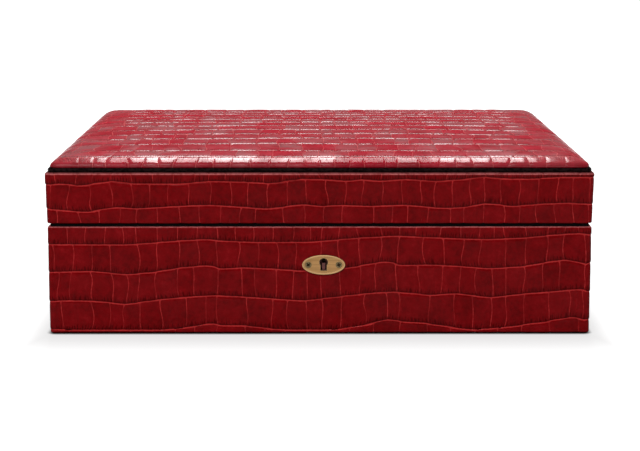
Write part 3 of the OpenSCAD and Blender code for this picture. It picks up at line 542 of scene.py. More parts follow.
def closeSheet(command, **settings):
    # in edit mode: closes what is selected, turns all faces outwards and leaves edit mode
    command(**settings)
    bpy.ops.mesh.select_all(action="SELECT")
    bpy.ops.mesh.normals_make_consistent(inside=False)
    bpy.ops.mesh.select_mode(type="VERT")
    bpy.ops.object.mode_set(mode="OBJECT")


def writeMaps(mesh, columns, maps, whole=None):
    corners = np.zeros(len(mesh.loops), int)
    mesh.loops.foreach_get("vertex_index", corners)
    corners = corners.reshape(-1, 4)
    column, row = corners % columns, corners // columns
    band = row.min(1)
    values = maps[band[:, None], row - band[:, None], column]
    if whole is not None:
        # the scale over the start of a ring is one scale, so both its ends get one number
        first = maps[band, 0, column.min(1), 0]
        values[..., 0] += np.where(first < 0, whole[band], 0)[:, None]
    for name, part in (("scaleMap", 0), ("gapMap", 2), ("runMap", 4)):
        layer = mesh.uv_layers.new(name=name)
        layer.data.foreach_set("uv", values[..., part:part + 2].astype(np.float32).ravel())


def softLine(rng, knots, even, closedLength=None, wander=0.0):
    # a row line through given points, which wanders on along the rest of the run
    knots = np.array(knots, float)
    if closedLength:
        step, spare = 13.0, 8
        gapStart, gapEnd = knots[-1, 0], knots[0, 0] + closedLength
        more = np.arange(gapStart + step, gapEnd - spare, step)
        share = (more - gapStart) / (gapEnd - gapStart)
        slow = sum(np.sin(more / length + rng.uniform(0, 6.3)) for length in (33, 21, 14)) / 3
        ease = np.minimum(1, 6 * np.minimum(share, 1 - share))
        middle = knots[-1, 1] * (1 - share) + knots[0, 1] * share
        height = middle + ease * (slow * wander + rng.uniform(-0.4, 0.4, len(more)) * wander)
        knots = np.vstack([knots, np.column_stack([more, height])])
        places = np.concatenate([knots[:, 0] - closedLength, knots[:, 0], knots[:, 0] + closedLength])
        values = np.tile(knots[:, 1], 3)
    else:
        places, values = knots[:, 0], knots[:, 1]
    order = np.argsort(places)
    line = np.interp(even, places[order], values[order])
    if closedLength:
        line[:-1] = smoothClosed(line[:-1], 2)
        line[-1] = line[0]
    else:
        line = smoothClosed(np.concatenate([line, line[::-1]]), 2)[:len(line)]
    return line


def ringPlace(size, along):
    # a place on the outline, which starts at the left end of the front, and its outward direction.
    # Complex numbers hold x and y
    r, sides = size["corner"], (size["width"] / 2, size["depth"] / 2)
    along = np.mod(along, ringLength(size))
    place, outward = np.zeros((2, *along.shape), complex)
    start = 0.0
    for k in range(4):
        half, off, turned = sides[k % 2] - r, sides[1 - k % 2], 1j ** k
        for arc in (False, True):
            length = math.pi * r / 2 if arc else 2 * half
            here = (along >= start - 1e-9) & (along <= start + length + 1e-9)
            u = along[here] - start
            out = np.exp(1j * (u / r - math.pi / 2)) if arc else 0 * u - 1j
            spot = half + 1j * (r - off) + r * out if arc else u - half - 1j * off
            place[here], outward[here] = spot * turned, out * turned
            start += length
    return place.real.copy(), place.imag.copy(), outward.real, outward.imag


def ringLength(size):
    return 2 * (size["width"] + size["depth"] - 4 * size["corner"]) + 2 * math.pi * size["corner"]


def foldedRun(size):
    # the hide's section from its turned-in upper end to its turned-in foot: run, inset, height
    # and the direction it faces
    edge, footEdge, top, foot, flare = (size[key] for key in ("edge", "footEdge", "top", "foot", "flare"))
    points = [(size["fold"], top, 0, 1), (edge, top, 0, 1)]
    quarter = [(math.sin(a), math.cos(a)) for a in np.linspace(0, math.pi / 2, 13)]
    points += [(edge * (1 - s), top - edge * (1 - c), s, c) for s, c in quarter[1:]]
    points += [(flare + footEdge * (1 - c), foot + footEdge * (1 - s), c, -s) for s, c in quarter]
    points = np.array([*points, (size["under"], foot, 0, -1)])
    steps = np.hypot(np.diff(points[:, 0]), np.diff(points[:, 1]))
    return np.column_stack([np.concatenate([[0], np.cumsum(steps)]), points])


def stackRows(width, strips):
    # rows of a grid. A strip holds its row of scales, its upper and lower line, and the shares of
    # the way between them
    heights = [np.zeros(width) + start + share * (end - start)
               for _, start, end, shares in strips for share in shares]
    return heights, [row for row, _, _, shares in strips for _ in shares]


def leatherRing(name, size, frontLines, frontGrooves, form, seed):
    rng = np.random.default_rng(seed)
    length, count = ringLength(size), size["columns"]
    # columns stand closer together round the four corners
    crowding, crowdReach, fineSteps = 2.6, 2.4, 20001
    fine = np.linspace(0, length, fineSteps)
    w, d, arc = size["width"], size["depth"], math.pi * size["corner"] / 2
    middles = np.array([w, w + d, 2 * w + d, 2 * (w + d)], float)
    middles += arc * (np.arange(4) + 0.5) - 2 * size["corner"] * np.arange(1, 5)
    density = 1 + crowding * sum(np.exp(-((fine - middle) / crowdReach) ** 2) for middle in middles)
    total = np.concatenate([[0], np.cumsum((density[1:] + density[:-1]) / 2)])
    even = np.interp(np.linspace(0, total[-1], count + 1), total, fine)
    shift = w / 2 - size["corner"]  # front x to place along the ring
    section = foldedRun(size)
    wallStart, wallEnd, footEnd, end = section[[13, 14, -2, -1], 0]
    lean = (wallEnd - wallStart) / (section[13, 2] - section[14, 2])

    lines = []
    for knots in frontLines:
        line = softLine(rng, [(x + shift, z) for x, z in knots], even, length, size["wander"])
        lines.append(np.clip(wallStart + (section[13, 2] - line) * lean, wallStart + 0.3, wallEnd - 0.3))
    outside = 17.0  # height of the scales that go over the hide's ends
    bounds = list(zip([lines[0] - outside] + lines, lines + [np.maximum(lines[-1] + outside, end + 4)]))

    grooves, spare = [], 4
    for cuts in frontGrooves:
        cuts = np.array(cuts, float) + shift
        rest = fillColumns(rng, cuts[-1], cuts[0] + length)[:-1]
        once = np.sort(np.mod(np.concatenate([cuts, rest]), length))
        grooves.append(np.concatenate([once[-spare:] - length, once, once[:spare] + length]))

    last = len(lines)
    heights, bandRow = stackRows(count + 1, [
        (0, 0, 0, (0,)), (0, section[1, 0], wallStart, np.linspace(0, 1, 7)),
        (0, wallStart, lines[0], (0.18, 0.38, 0.56, 0.72, 0.84, 0.92, 0.965)),
        *[(row, lines[row - 1], lines[row], (0, *insideScale)) for row in range(1, last)],
        (last, lines[-1], wallEnd, (0, 0.04, 0.1, 0.2, 0.36, 0.56, 0.78)),
        (last, wallEnd, footEnd, np.linspace(0, 1, 7)),
        (last, footEnd, end, (0.3, 0.65, 1.0) if end - footEnd > 4 else (1.0,))])
    bandRow[-1] = -1
    visible = len(heights)
    for _ in size["inner"]:
        heights.append(heights[-1] + 1.0)
        bandRow.append(-1)
    heights = np.array(heights)
    along, lift, maps, counts, sway = embossScales(rng, even, heights, bandRow, bounds, grooves, form, True)
    x, y, outX, outY = ringPlace(size, along + sway + gentleFlow(rng, along, heights, length, form["drift"]))
    run = np.clip(heights, 0, end)
    inset, z, out, up = (np.interp(run, section[:, 0], section[:, k]) for k in (1, 2, 3, 4))
    for k, (innerInset, innerHeight) in enumerate(size["inner"]):
        inset[visible + k], z[visible + k] = innerInset, innerHeight
        lift[visible + k] = 0
    lift[0] = lift[visible - 1] = 0
    # the fold follows the outline for its first 2 mm, and further in the outline is scaled
    close = np.minimum(inset, 2.0 + size["flare"])
    x, y = x - outX * close + outX * out * lift, y - outY * close + outY * out * lift
    x *= 1 - (inset - close) / (w / 2)
    y *= 1 - (inset - close) / (d / 2)
    spots = np.stack([x, y, z + up * lift], axis=-1)
    ring = addSheet(count + 1, len(heights) + 1, np.concatenate([spots, spots[:1]]), crocLeather, leatherEdge)
    maps[np.array(bandRow) >= 0, :, :, 0] -= spare
    writeMaps(ring.data, count + 1, maps, np.array([counts[row] if row >= 0 else 0 for row in bandRow]))
    selectOnly(ring)
    bpy.ops.object.mode_set(mode="EDIT")
    bpy.ops.mesh.select_all(action="SELECT")
    closeSheet(bpy.ops.mesh.remove_doubles, threshold=2e-6)
    print(name, "faces", len(ring.data.polygons))
    return ring


def cutNotches(hide, low, high):
    # room for the hinge leaves
    clear = 0.0003
    for node in ("left_hinge_body_leaf", "right_hinge_body_leaf"):
        a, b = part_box(node)
        cutWith(hide, addBox("notch", (a.x - clear, a.y - clear, low), (b.x + clear, b.y + 0.01, high)),
                leatherEdge)


lockLow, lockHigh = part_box("escutcheon")
lockPlace = (lockLow + lockHigh) / 2


def cutKeyhole(obj, hole, near, far, inside):
    # a round hole over a slot, near the middle of the lock
    x, z, half = lockPlace.x, lockPlace.z + hole["rise"], hole["slot"] / 2
    cutWith(obj, addRod("key", hole["radius"], (x, near, z), (x, far, z), hole["segments"]), inside)
    cutWith(obj, addBox("slot", (x - half, near, lockPlace.z - hole["foot"]), (x + half, far, z)), inside)


scaleForm = {"depth": 0.32, "shoulder": 0.6, "topShoulder": 1.2, "footShoulder": 0.45, "bulge": 0.30,
             "rise": 0.05, "lean": 0.16, "nod": 0.3, "swell": 0.05, "drift": 0.55, "crowd": 0.5, "bend": 0.6,
             "round": 1.5, "arch": 0.0}


def skinSize(node, thick, settings):
    # outer sizes come from the CAD's own hide
    low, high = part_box(node)
    size = {"width": (high.x - low.x) / mm, "depth": (high.y - low.y) / mm, "top": high.z / mm,
            "foot": low.z / mm}
    size.update(settings)
    size["inner"] = settings["inner"](size["foot"] + thick, size["top"] - thick)
    return size


bodySkin = skinSize("body_leather", 1.2, {
    "corner": 2.5, "flare": 0, "edge": 1.1, "footEdge": 1.7, "fold": 1.8, "under": 12,
    "columns": 1040, "wander": 1.6,
    "inner": lambda foot, top: [(12, foot), (6, foot), (1.2, foot), (1.2, 34), (1.2, top), (1.8, top)]})

bodyLines = [
    [(-165, 55.5), (-138, 55.4), (-117, 55.3), (-98, 56.8), (-86, 57.7), (-68, 58.7), (-61, 57.7),
     (-38, 56.8), (-6, 56.9), (12, 58.3), (24, 59.5), (45, 60.7), (67, 59.8), (85, 58.9), (103, 58.5),
     (125, 59.5), (139, 61), (159, 62.3), (165, 61.1)],
    [(-165, 38.3), (-138, 39), (-118, 36.8), (-98, 38.6), (-86, 40.9), (-68, 42.6), (-61, 40.2),
     (-47, 41.2), (-27, 40.2), (-11, 39), (15, 40.5), (34, 44.1), (43, 44.9), (49, 42.5), (67, 42.8),
     (86, 41.9), (104, 40.4), (125, 41.9), (137, 44.1), (151, 46.2), (161, 42.8), (165, 44.1)],
    [(-165, 20.1), (-153, 20.7), (-138, 20.4), (-118, 18.2), (-97, 21.3), (-81, 22.9), (-63, 23.9),
     (-46, 22.9), (-27, 21.6), (-9, 20.4), (10, 22.9), (30, 25.1), (46, 26.1), (67, 23.8), (84, 25.1),
     (103, 22.3), (125, 24.8), (139, 25.8), (159, 27.7), (165, 26.1)],
    [(-164, 2.7), (-146, 2.2), (-121, 1.8), (-97, 2.2), (-81, 3.8), (-65, 6.6), (-61, 5), (-46, 5),
     (-27, 2.7), (-9, 1.8), (12, 2.5), (30, 5.6), (41, 9.1), (49, 7.5), (67, 6.2), (81, 3.8), (92, 2.1),
     (115, 3.8), (139, 7.5), (155, 10.6), (160, 8.3), (164, 8.7)],
]

bodyGrooves = [
    [-153, -142, -130, -119, -111, -99, -86, -74, -62, -51, -40, -28, -17, -6, 1, 12, 24, 37, 48, 59, 73,
     85, 96, 106, 113, 125, 138, 149, 158],
    [-162, -150, -138, -127, -111, -99, -85, -74, -63, -49, -37, -26, -15, 1, 12, 24, 36, 48, 64, 75, 87,
     98, 113, 125, 138, 149, 161],
    [-159, -151, -139, -127, -118, -110, -99, -86, -77, -62, -47, -39, -27, -16, -7, 1, 12, 24, 34, 47, 60,
     74, 86, 96, 105, 113, 124, 136, 146, 161],
    [-157, -140, -129, -119, -109, -97, -82, -69, -62, -45, -29, -19, -8, 1, 13, 28, 41, 48, 67, 83, 93,
     104, 113, 125, 140, 152, 160],
    [-154, -141, -128, -115, -103, -89, -76, -62, -46, -33, -21, -8, 5, 19, 33, 49, 66, 80, 95, 109, 124,
     140, 158],
]


hideHole = {"radius": 2.8 * mm, "slot": 4.1 * mm, "rise": 1.5 * mm, "foot": 3.8 * mm, "segments": 32}

hide = leatherRing("bodyLeather", bodySkin, bodyLines, bodyGrooves, scaleForm, 11)
cutNotches(hide, bodySkin["top"] * mm - 0.0012, bodySkin["top"] * mm + 0.004)
cutKeyhole(hide, hideHole, lockHigh.y - 0.003, lockHigh.y + 0.003, leatherEdge)
finishPiece(hide, "bodyLeather", "case", ["body_leather"])

lidSkin = skinSize("lid_leather", 1.2, {
    "corner": 3.2, "flare": 0.7, "edge": 1.6, "footEdge": 0.7, "fold": 2.5, "under": 2.5,
    "columns": 1040, "wander": 1.4,
    "inner": lambda foot, top: [(2.5, foot), (1.95, foot), (1.6, 85), (1.25, top), (2.5, top)]})

lidLines = [
    [(-165, 92.2), (-155, 92.8), (-144, 91.3), (-123, 94.6), (-114, 92.8), (-84, 92.6), (-67, 94.3),
     (-44, 93.8), (-30, 92.8), (-11, 95.6), (6, 95.2), (16, 94.1), (25, 95.5), (36, 94.2), (52, 95.5),
     (71, 94.2), (89, 95.5), (99, 97.2), (108, 95.8), (126, 95.5), (144, 96.7), (162, 96.7)],
    [(-165, 77.4), (-140, 75.2), (-131, 77.4), (-123, 78.4), (-111, 77.4), (-79, 79.3), (-67, 79.7),
     (-44, 78.3), (-31, 77.2), (-10, 80.2), (0, 78.8), (13, 79.7), (30, 78.9), (52, 79.7), (71, 77.9),
     (79, 77.7), (90, 78.5), (99, 80.7), (109, 79.9), (116, 78.7), (132, 80.2), (150, 80.9), (164, 80.1)],
]

lidGrooves = [
    [-160, -147, -136, -125, -113, -101, -88, -75, -67, -57, -46, -34, -22, -11, 1, 13, 24, 37, 44, 53, 64,
     76, 88, 100, 111, 122, 134, 146, 157],
    [-163, -151, -138, -126, -114, -103, -91, -79, -66, -54, -43, -31, -19, -8, 4, 15, 26, 38, 50, 61, 70,
     80, 91, 99, 109, 120, 132, 144, 153, 163],
    [-158, -146, -134, -121, -110, -98, -85, -73, -60, -47, -38, -22, -10, 2, 14, 33, 44, 53, 66, 79, 87,
     99, 111, 121, 131, 142, 153, 162],
]


hide = leatherRing("lidLeather", lidSkin, lidLines, lidGrooves, scaleForm, 23)
cutNotches(hide, lidSkin["foot"] * mm - 0.004, lidSkin["foot"] * mm + 0.0012)
finishPiece(hide, "lidLeather", "lid", ["lid_leather"])
print("leather of the case and lid made")


# The padded top

padLow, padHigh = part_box("pad_leather")
# tilts holds how many degrees the hide leans at each run from the flat middle to its widest place
pad = {
    "halfWidth": padHigh.x / mm - 0.3, "halfDepth": padHigh.y / mm + 0.8, "foot": padLow.z / mm - 0.5,
    "top": padHigh.z / mm + 1.2, "tilts": [(0, 0), (14.0, 7), (23.0, 29), (25.4, 90)], "square": 18,
    "tuck": 1.0, "under": 3.0, "columns": 420, "scale": 12.6, "stray": 2.2,
    "frontScale": 12.0, "coarse": 5.5, "crown": 0.8, "pressure": 0.5, "pillow": 0.3, "pillowReach": 13.0,
    "swellEase": 25, "quickEase": 60, "sideEase": 14, "calm": 0.65, "calmAt": -121, "calmReach": 13,
}

padForm = {"depth": 0.30, "shoulder": 0.6, "topShoulder": 1.2, "footShoulder": 0.35, "bulge": 0.15,
           "rise": 0.04, "lean": 0.16, "nod": 0.0, "arch": 0.33, "swell": 0.10, "drift": 0.8, "crowd": 0.4,
           "bend": 0.9, "round": 1.4}


def padProfile():
    # from the edge of the flat middle outwards: run, reach, height and facing
    runs = np.linspace(0, pad["tilts"][-1][0], 41)
    angles = np.radians(np.interp(runs, *zip(*pad["tilts"])))
    middle = (angles[1:] + angles[:-1]) / 2
    reach = np.concatenate([[0], np.cumsum(np.cos(middle)) * runs[1]])
    drop = np.concatenate([[0], np.cumsum(np.sin(middle)) * runs[1]])
    points = np.column_stack([reach, pad["top"] - drop, np.sin(angles), np.cos(angles)])
    widest = reach[-1]
    points = np.vstack([points, (widest - pad["tuck"], pad["foot"], 0.8, -0.6),
                        (widest - pad["tuck"] - pad["under"], pad["foot"], 0, -1)])
    steps = np.hypot(np.diff(points[:, 0]), np.diff(points[:, 1]))
    print("pad edge: reach", round(widest, 2), "drop", round(drop[-1], 2))
    return widest, np.column_stack([np.concatenate([[0], np.cumsum(steps)]), points])


pad["corner"], padSection = padProfile()
padReach = padSection[-1, 0]
coreX, coreY = pad["halfWidth"] - pad["corner"], pad["halfDepth"] - pad["corner"]
sheetX, sheetY = coreX + padReach, coreY + padReach


def padPlace(x, y):
    overX, overY = np.maximum(np.abs(x) - coreX, 0), np.maximum(np.abs(y) - coreY, 0)
    far, near = np.maximum(overX, overY), np.minimum(overX, overY)
    angle = (math.pi / 4) * near / np.maximum(far, 1e-6)
    angle = np.where(overX >= overY, angle, math.pi / 2 - angle)
    reach, z, out, up = (np.interp(far, padSection[:, 0], padSection[:, k]) for k in (1, 2, 3, 4))
    signX, signY, n = np.sign(x), np.sign(y), pad["square"]
    # seen from above the corners are squarer than an arc
    reach = reach / (np.cos(angle) ** n + np.sin(angle) ** n) ** (1 / n)
    px = signX * (np.minimum(np.abs(x), coreX) + np.cos(angle) * reach)
    py = signY * (np.minimum(np.abs(y), coreY) + np.sin(angle) * reach)
    normal = np.stack([signX * np.cos(angle) * out, signY * np.sin(angle) * out, up], -1)
    # the middle stands over the rolled edge like a flat pillow
    inward = np.maximum(np.minimum(pad["halfWidth"] - np.abs(px), pad["halfDepth"] - np.abs(py)) - 1, 0)
    z = z + pad["pillow"] * (1 - np.exp(-inward / pad["pillowReach"])) * np.clip(up * 3, 0, 1)
    return np.stack([px, py, z], -1), normal


def closeFoot(sheet):
    selectOnly(sheet)
    bpy.ops.object.mode_set(mode="EDIT")
    bpy.ops.mesh.select_mode(type="EDGE")
    bpy.ops.mesh.select_all(action="DESELECT")
    bpy.ops.mesh.select_non_manifold()
    closeSheet(bpy.ops.mesh.edge_face_add)


def splineWeights(places, count):
    # a smooth cubic curve's share of each control point
    weights = np.zeros((len(places), count))
    cell = np.clip(np.floor(places).astype(int), 0, count - 2)
    t = places - cell
    shares = ((1 - t) ** 3 / 6, (3 * t ** 3 - 6 * t ** 2 + 4) / 6, (-3 * t ** 3 + 3 * t ** 2 + 3 * t + 1) / 6,
              t ** 3 / 6)
    for k, share in enumerate(shares):
        np.add.at(weights, (np.arange(len(places)), np.clip(cell + k - 1, 0, count - 1)), share)
    return weights


def readSpots(obj):
    spots = np.zeros(len(obj.data.vertices) * 3)
    obj.data.vertices.foreach_get("co", spots)
    return spots.reshape(-1, 3)


def swellPad():
    # the pad as a closed cloth form, blown up a little over its board
    columns, rows = int(2 * sheetX / pad["coarse"]), int(2 * sheetY / pad["coarse"])
    gx, gy = np.linspace(-sheetX, sheetX, columns), np.linspace(-sheetY, sheetY, rows)
    spots, _ = padPlace(*np.meshgrid(gx, gy))
    form = addSheet(columns, rows, spots)
    closeFoot(form)
    before = readSpots(form)
    held = form.vertex_groups.new(name="held")
    held.add([int(i) for i in np.where(before[:, 2] < (pad["foot"] + 0.4) * mm)[0]], 1.0, "REPLACE")
    cloth = form.modifiers.new("swell", "CLOTH")
    for name, value in {"vertex_group_mass": "held", "quality": 6, "mass": 0.3, "tension_stiffness": 40,
                        "compression_stiffness": 40, "bending_stiffness": 4, "use_pressure": True,
                        "uniform_pressure_force": pad["pressure"]}.items():
        setattr(cloth.settings, name, value)
    cloth.settings.effector_weights.gravity = 0
    scene = bpy.context.scene
    for f in range(1, 21):
        scene.frame_set(f)
        bpy.context.view_layer.update()
    applyAll(form)
    scene.frame_set(1)
    moved = ((readSpots(form) - before) / mm)[:columns * rows].reshape(rows, columns, 3)
    bpy.data.objects.remove(form)
    most = float(np.abs(moved).max())
    print("pad swelled by up to", round(most, 2), "mm")
    return moved * pad["crown"] / max(most, 1e-6)


def makePad():
    rng = np.random.default_rng(37)
    even = np.linspace(-sheetX, sheetX, pad["columns"])
    # row lines from the back foot to the front foot, by their depth on the flat top
    depths = [137, 123, 106, 88, 70.5, 53, 35.7, 15.2, -8, -32, -56.4, -82.8, -111.5, -131.3]
    lines, wave = [], (0.35, 0.4, 0.6, 0.8, 1, 1, 1.1, 1.2, 1.2, 1.3, 1.2, 1.1, 1.0, 0.4)
    for k, depth in enumerate(depths):
        places = np.arange(-192, 193, 16.0)
        slow = np.sin(places / 37 + 0.5 * k) * 1.1 + np.sin(places / 19 + 1.7 * k) * 0.8
        shifts = (slow + rng.uniform(-0.6, 0.6, len(places))) * wave[k]
        lines.append(softLine(rng, np.column_stack([places, sheetY - depth + shifts]), even))
    none, end, beyond = np.zeros(len(even)), 2 * sheetY, 6.0
    bounds = list(zip([none - beyond] + lines, lines + [none + end + beyond]))
    last = len(lines)

    rollGrooves = [-148, -137, -127, -118, -107, -97, -86, -74, -64, -53, -42, -30, -18, -8, 0, 9, 18, 28, 38,
                   48, 59]
    frontGrooves = [-141, -126, -112, -97, -81, -65, -51, -38, -29, -18, -9, -1, 9, 18, 28, 36, 45, 56]
    side = sheetX + 8
    base = np.concatenate([[-side], fillColumns(rng, -side, side, pad["scale"])])
    grooves = []
    for k in range(last + 1):
        own = base + rng.uniform(-pad["stray"], pad["stray"], len(base))
        if k >= last - 1:
            known = rollGrooves if k == last else frontGrooves
            own = np.concatenate([[-side], fillColumns(rng, -side, known[0], pad["frontScale"])[:-1], known,
                                  fillColumns(rng, known[-1], side, pad["frontScale"])])
        grooves.append(np.sort(own))

    # the first and the last strip roll over the back and front edges
    roll = np.linspace(0, 1, 20)
    heights, bandRow = stackRows(len(even), [
        (0, 0, lines[0], np.sort(1 - roll[1:])),
        *[(row, lines[row - 1], lines[row], (0, *insidePadScale)) for row in range(1, last)],
        (last, lines[-1], end, roll[:-1])])
    heights = np.array(heights + [none + end])
    along, lift, maps, _, sway = embossScales(rng, even, heights, bandRow, bounds, grooves, padForm)

    drift = sway + gentleFlow(rng, along, heights, 2 * sheetX, padForm["drift"])
    edgeEase = np.clip((sheetX - np.abs(along)) / pad["sideEase"], 0, 1)
    flatX, flatY = along + drift * edgeEase, sheetY - heights
    spots, normal = padPlace(flatX, flatY)
    inland = np.minimum(coreX - np.abs(flatX), coreY - np.abs(flatY))
    moved = swellPad()
    runs = flatY[:, 200]  # down a column near the middle
    rowsAt = splineWeights((runs + sheetY) / (2 * sheetY) * (moved.shape[0] - 1), moved.shape[0])
    columnsAt = splineWeights((even + sheetX) / (2 * sheetX) * (moved.shape[1] - 1), moved.shape[1])
    moved = np.einsum("qa,abk,pb->qpk", rowsAt, moved, columnsAt)
    spots += moved * np.clip(inland / pad["swellEase"], 0, 1)[..., None]
    rim = np.clip((np.minimum(sheetX - np.abs(flatX), sheetY - np.abs(flatY)) - pad["under"]) / 1.5, 0, 1)
    rim *= 0.4 + 0.6 * np.clip((coreX - np.abs(flatX)) / 8, 0, 1)
    # the two rows before the roll stand up less
    rim *= 1 - pad["calm"] * np.exp(-((flatY - pad["calmAt"]) / pad["calmReach"]) ** 2)
    spots += normal * (lift * rim)[..., None]

    rows, columns = heights.shape
    skin = addSheet(columns, rows, spots, padLeather)
    writeMaps(skin.data, columns, maps)
    closeFoot(skin)
    finishPiece(skin, "padLeather", "lid", ["pad_leather", "pad_foam"])
    print("pad made, faces", len(skin.data.polygons))


makePad()


# Finishes of the CAD nodes

def makeCedar(name, turn, seed):
    material, place = newMaterial(name)
    place = stretch(place, (1, 1, 1), turn, (seed, seed * 0.7, 0))
    rings, pores, tone = useGroup(woodGrain, place, Size=210.0)
    wear, = useGroup(edgeWear, place, Width=0.0005, Breakup=0.6)
    colour = blend(rings, (0.56, 0.27, 0.125), (0.37, 0.135, 0.055))
    colour = blend(fade(tone, 0.3, 0.7, 0.0, 0.45), colour, (0.62, 0.33, 0.17))
    colour = blend(pores * 0.35, colour, (0.22, 0.075, 0.03))
    return dress(material, {"Base Color": blend(wear * 0.35, colour, (0.70, 0.42, 0.24)),
                            "Roughness": pores * 0.2 + 0.52, "Specular IOR Level": 0.35},
                 rings * 0.3 - pores, 0.35, 0.0001)


def makeFibreBoard():
    material, place = newMaterial("fibreBoard")
    flecks = noise(stretch(place, (1, 1, 1.6)), 950, 4, 0.75)
    colour = blend(fade(flecks, 0.35, 0.68), (0.30, 0.185, 0.095), (0.50, 0.36, 0.215))
    colour = blend(noise(place, 60, 3, 0.6) * 0.4, colour, (0.41, 0.27, 0.15))
    return dress(material, {"Base Color": colour, "Roughness": 0.88}, flecks, 0.4, 0.0002)


def makeFelt():
    material, place = newMaterial("blackFelt")
    fluff = noise(place, 2600, 4, 0.8)
    colour = blend(fade(fluff, 0.4, 0.7) * 0.8, (0.0035, 0.0035, 0.004), (0.022, 0.021, 0.022))
    pills = blend(noise(place, 260, 3, 0.6) * 0.2, colour, (0.03, 0.028, 0.028))
    return dress(material, {"Base Color": pills, "Roughness": 0.95, "Specular IOR Level": 0.02},
                 fluff, 0.6, 0.0003)


def makeBand():
    # black edge paint over a board, a little pebbled
    material, place = newMaterial("blackBand")
    bumps, patches = useGroup(fineGrain, place, Size=1300.0)
    wear, = useGroup(edgeWear, place, Width=0.0008, Breakup=0.8)
    pebbles = put("TexVoronoi", {"Vector": place, "Scale": 650.0}, "Distance", feature="F1")
    colour = blend(patches, (0.0020, 0.0003, 0.0003), (0.0050, 0.0010, 0.0010))
    colour = blend(fade(pebbles, 0.35, 0.65) * 0.8, colour, (0.022, 0.010, 0.010))
    return dress(material, {"Base Color": blend(wear * 0.2, colour, (0.032, 0.018, 0.017)),
                            "Roughness": patches * 0.2 + 0.5, "Specular IOR Level": 0.03},
                 pebbles + bumps * 0.6, 0.5, 0.00015)


def makeMetal(name, colour, shade, roughness, stain=0.35):
    material, place = newMaterial(name)
    scratches, streaks = useGroup(brushing, place, Length=0.03)
    bumps, patches = useGroup(fineGrain, place, Size=1100.0)
    wear, = useGroup(edgeWear, place, Width=0.0003, Breakup=0.35)
    tint = blend(fade(patches, 0.35, 0.7) * stain, colour, shade)
    tint = blend(streaks * 0.25, tint, shade)
    bright = tuple(min(1.0, c * 1.35 + 0.04) for c in colour)
    return dress(material, {"Base Color": blend(wear * 0.6, tint, bright), "Metallic": 1.0,
                            "Roughness": (streaks - 0.5) * 0.2 + roughness},
                 scratches + bumps * 0.5, 0.25, 0.00005)


def makePlastic():
    material, place = newMaterial("blackPlastic")
    bumps, patches = useGroup(fineGrain, place, Size=2000.0)
    wear, = useGroup(edgeWear, place, Width=0.0004, Breakup=0.5)
    colour = blend(patches, (0.008, 0.008, 0.009), (0.018, 0.018, 0.019))
    return dress(material, {"Base Color": blend(wear * 0.4, colour, (0.07, 0.07, 0.07)),
                            "Roughness": patches * 0.2 + 0.42}, bumps, 0.3, 0.0001)


def makeFoam():
    material, place = newMaterial("waterFoam")
    cells = put("TexVoronoi", {"Vector": place, "Scale": 1400.0}, "Distance", feature="DISTANCE_TO_EDGE")
    holes = fade(cells, 0.02, 0.28)
    return dress(material, {"Base Color": blend(holes, (0.10, 0.20, 0.10), (0.02, 0.055, 0.025)),
                            "Roughness": 0.95}, holes, 0.8, 0.0004, invert=True)


def makeDialFace():
    material, place = newMaterial("dialFace")
    bumps, patches = useGroup(fineGrain, place, Size=900.0)
    return dress(material, {"Base Color": blend(patches, (0.74, 0.70, 0.58), (0.66, 0.60, 0.47)),
                            "Roughness": 0.55}, bumps, 0.15, 0.0001)


def makeGlass():
    material, place = newMaterial("clearGlass")
    return dress(material, {"Base Color": (0.97, 0.98, 0.98), "Transmission Weight": 1.0, "IOR": 1.45,
                            "Roughness": fade(noise(place, 120, 3, 0.6), 0.4, 0.8, 0.0, 0.06)})


agedBrass = makeMetal("agedBrass", (0.20, 0.145, 0.07), (0.07, 0.05, 0.022), 0.3)
# painted shade: a dark finish for the keyhole, the plate's screw holes and the screws' cross recesses
paintedRecessShade = makeMetal("paintedRecessShade", (0.030, 0.018, 0.010), (0.010, 0.006, 0.004), 0.5)

finishOf = (
    (makeCedar("cedarLong", (0, 0, 0), 0.0),
     ["front_lining", "back_lining", "floor_lining", "lid_top_lining", "lid_front_lining", "lid_back_lining",
      "tray_front", "tray_back"]),
    (makeCedar("cedarDeep", (0, 0, math.pi / 2), 0.35),
     ["left_lining", "right_lining", "divider", "tray_cleats", "lid_left_lining", "lid_right_lining",
      "tray_left", "tray_right", "tray_partition", "tray_slats"]),
    (makeFibreBoard(), ["base_board", "body_front_board", "body_back_board", "body_left_board",
                        "body_right_board", "lid_top_board", "pad_board"]),
    (makeFelt(), ["base_felt", "rim_seal"]),
    (makeBand(), ["lid_band", "lid_front_board", "lid_back_board", "lid_left_board", "lid_right_board"]),
    (makeMetal("brass", (0.62, 0.43, 0.19), (0.34, 0.21, 0.085), 0.34),
     ["left_hinge_body_leaf", "right_hinge_body_leaf", "left_hinge_lid_leaf", "right_hinge_lid_leaf",
      "hinge_pins", "hygrometer_case", "humidifier_grille", "lock_case", "link_plate"]),
    (makeMetal("steel", (0.56, 0.56, 0.57), (0.34, 0.34, 0.35), 0.32),
     ["lock_bolt", "magnet_plate", "humidifier_magnets"]),
    (makeMetal("darkSteel", (0.16, 0.06, 0.055), (0.05, 0.03, 0.028), 0.45), ["lock_cap"]),
    (makeMetal("needlePaint", (0.03, 0.03, 0.035), (0.015, 0.015, 0.015), 0.4, stain=0.2),
     ["hygrometer_needle"]),
    (makePlastic(), ["humidifier_case"]), (makeFoam(), ["humidifier_foam"]),
    (makeDialFace(), ["hygrometer_dial"]), (makeGlass(), ["hygrometer_glass"]),
)
for finish, names in finishOf:
    for name in names:
        nodes[name].data.materials.clear()
        nodes[name].data.materials.append(finish)
print("CAD nodes finished")


# Brass plate and screws

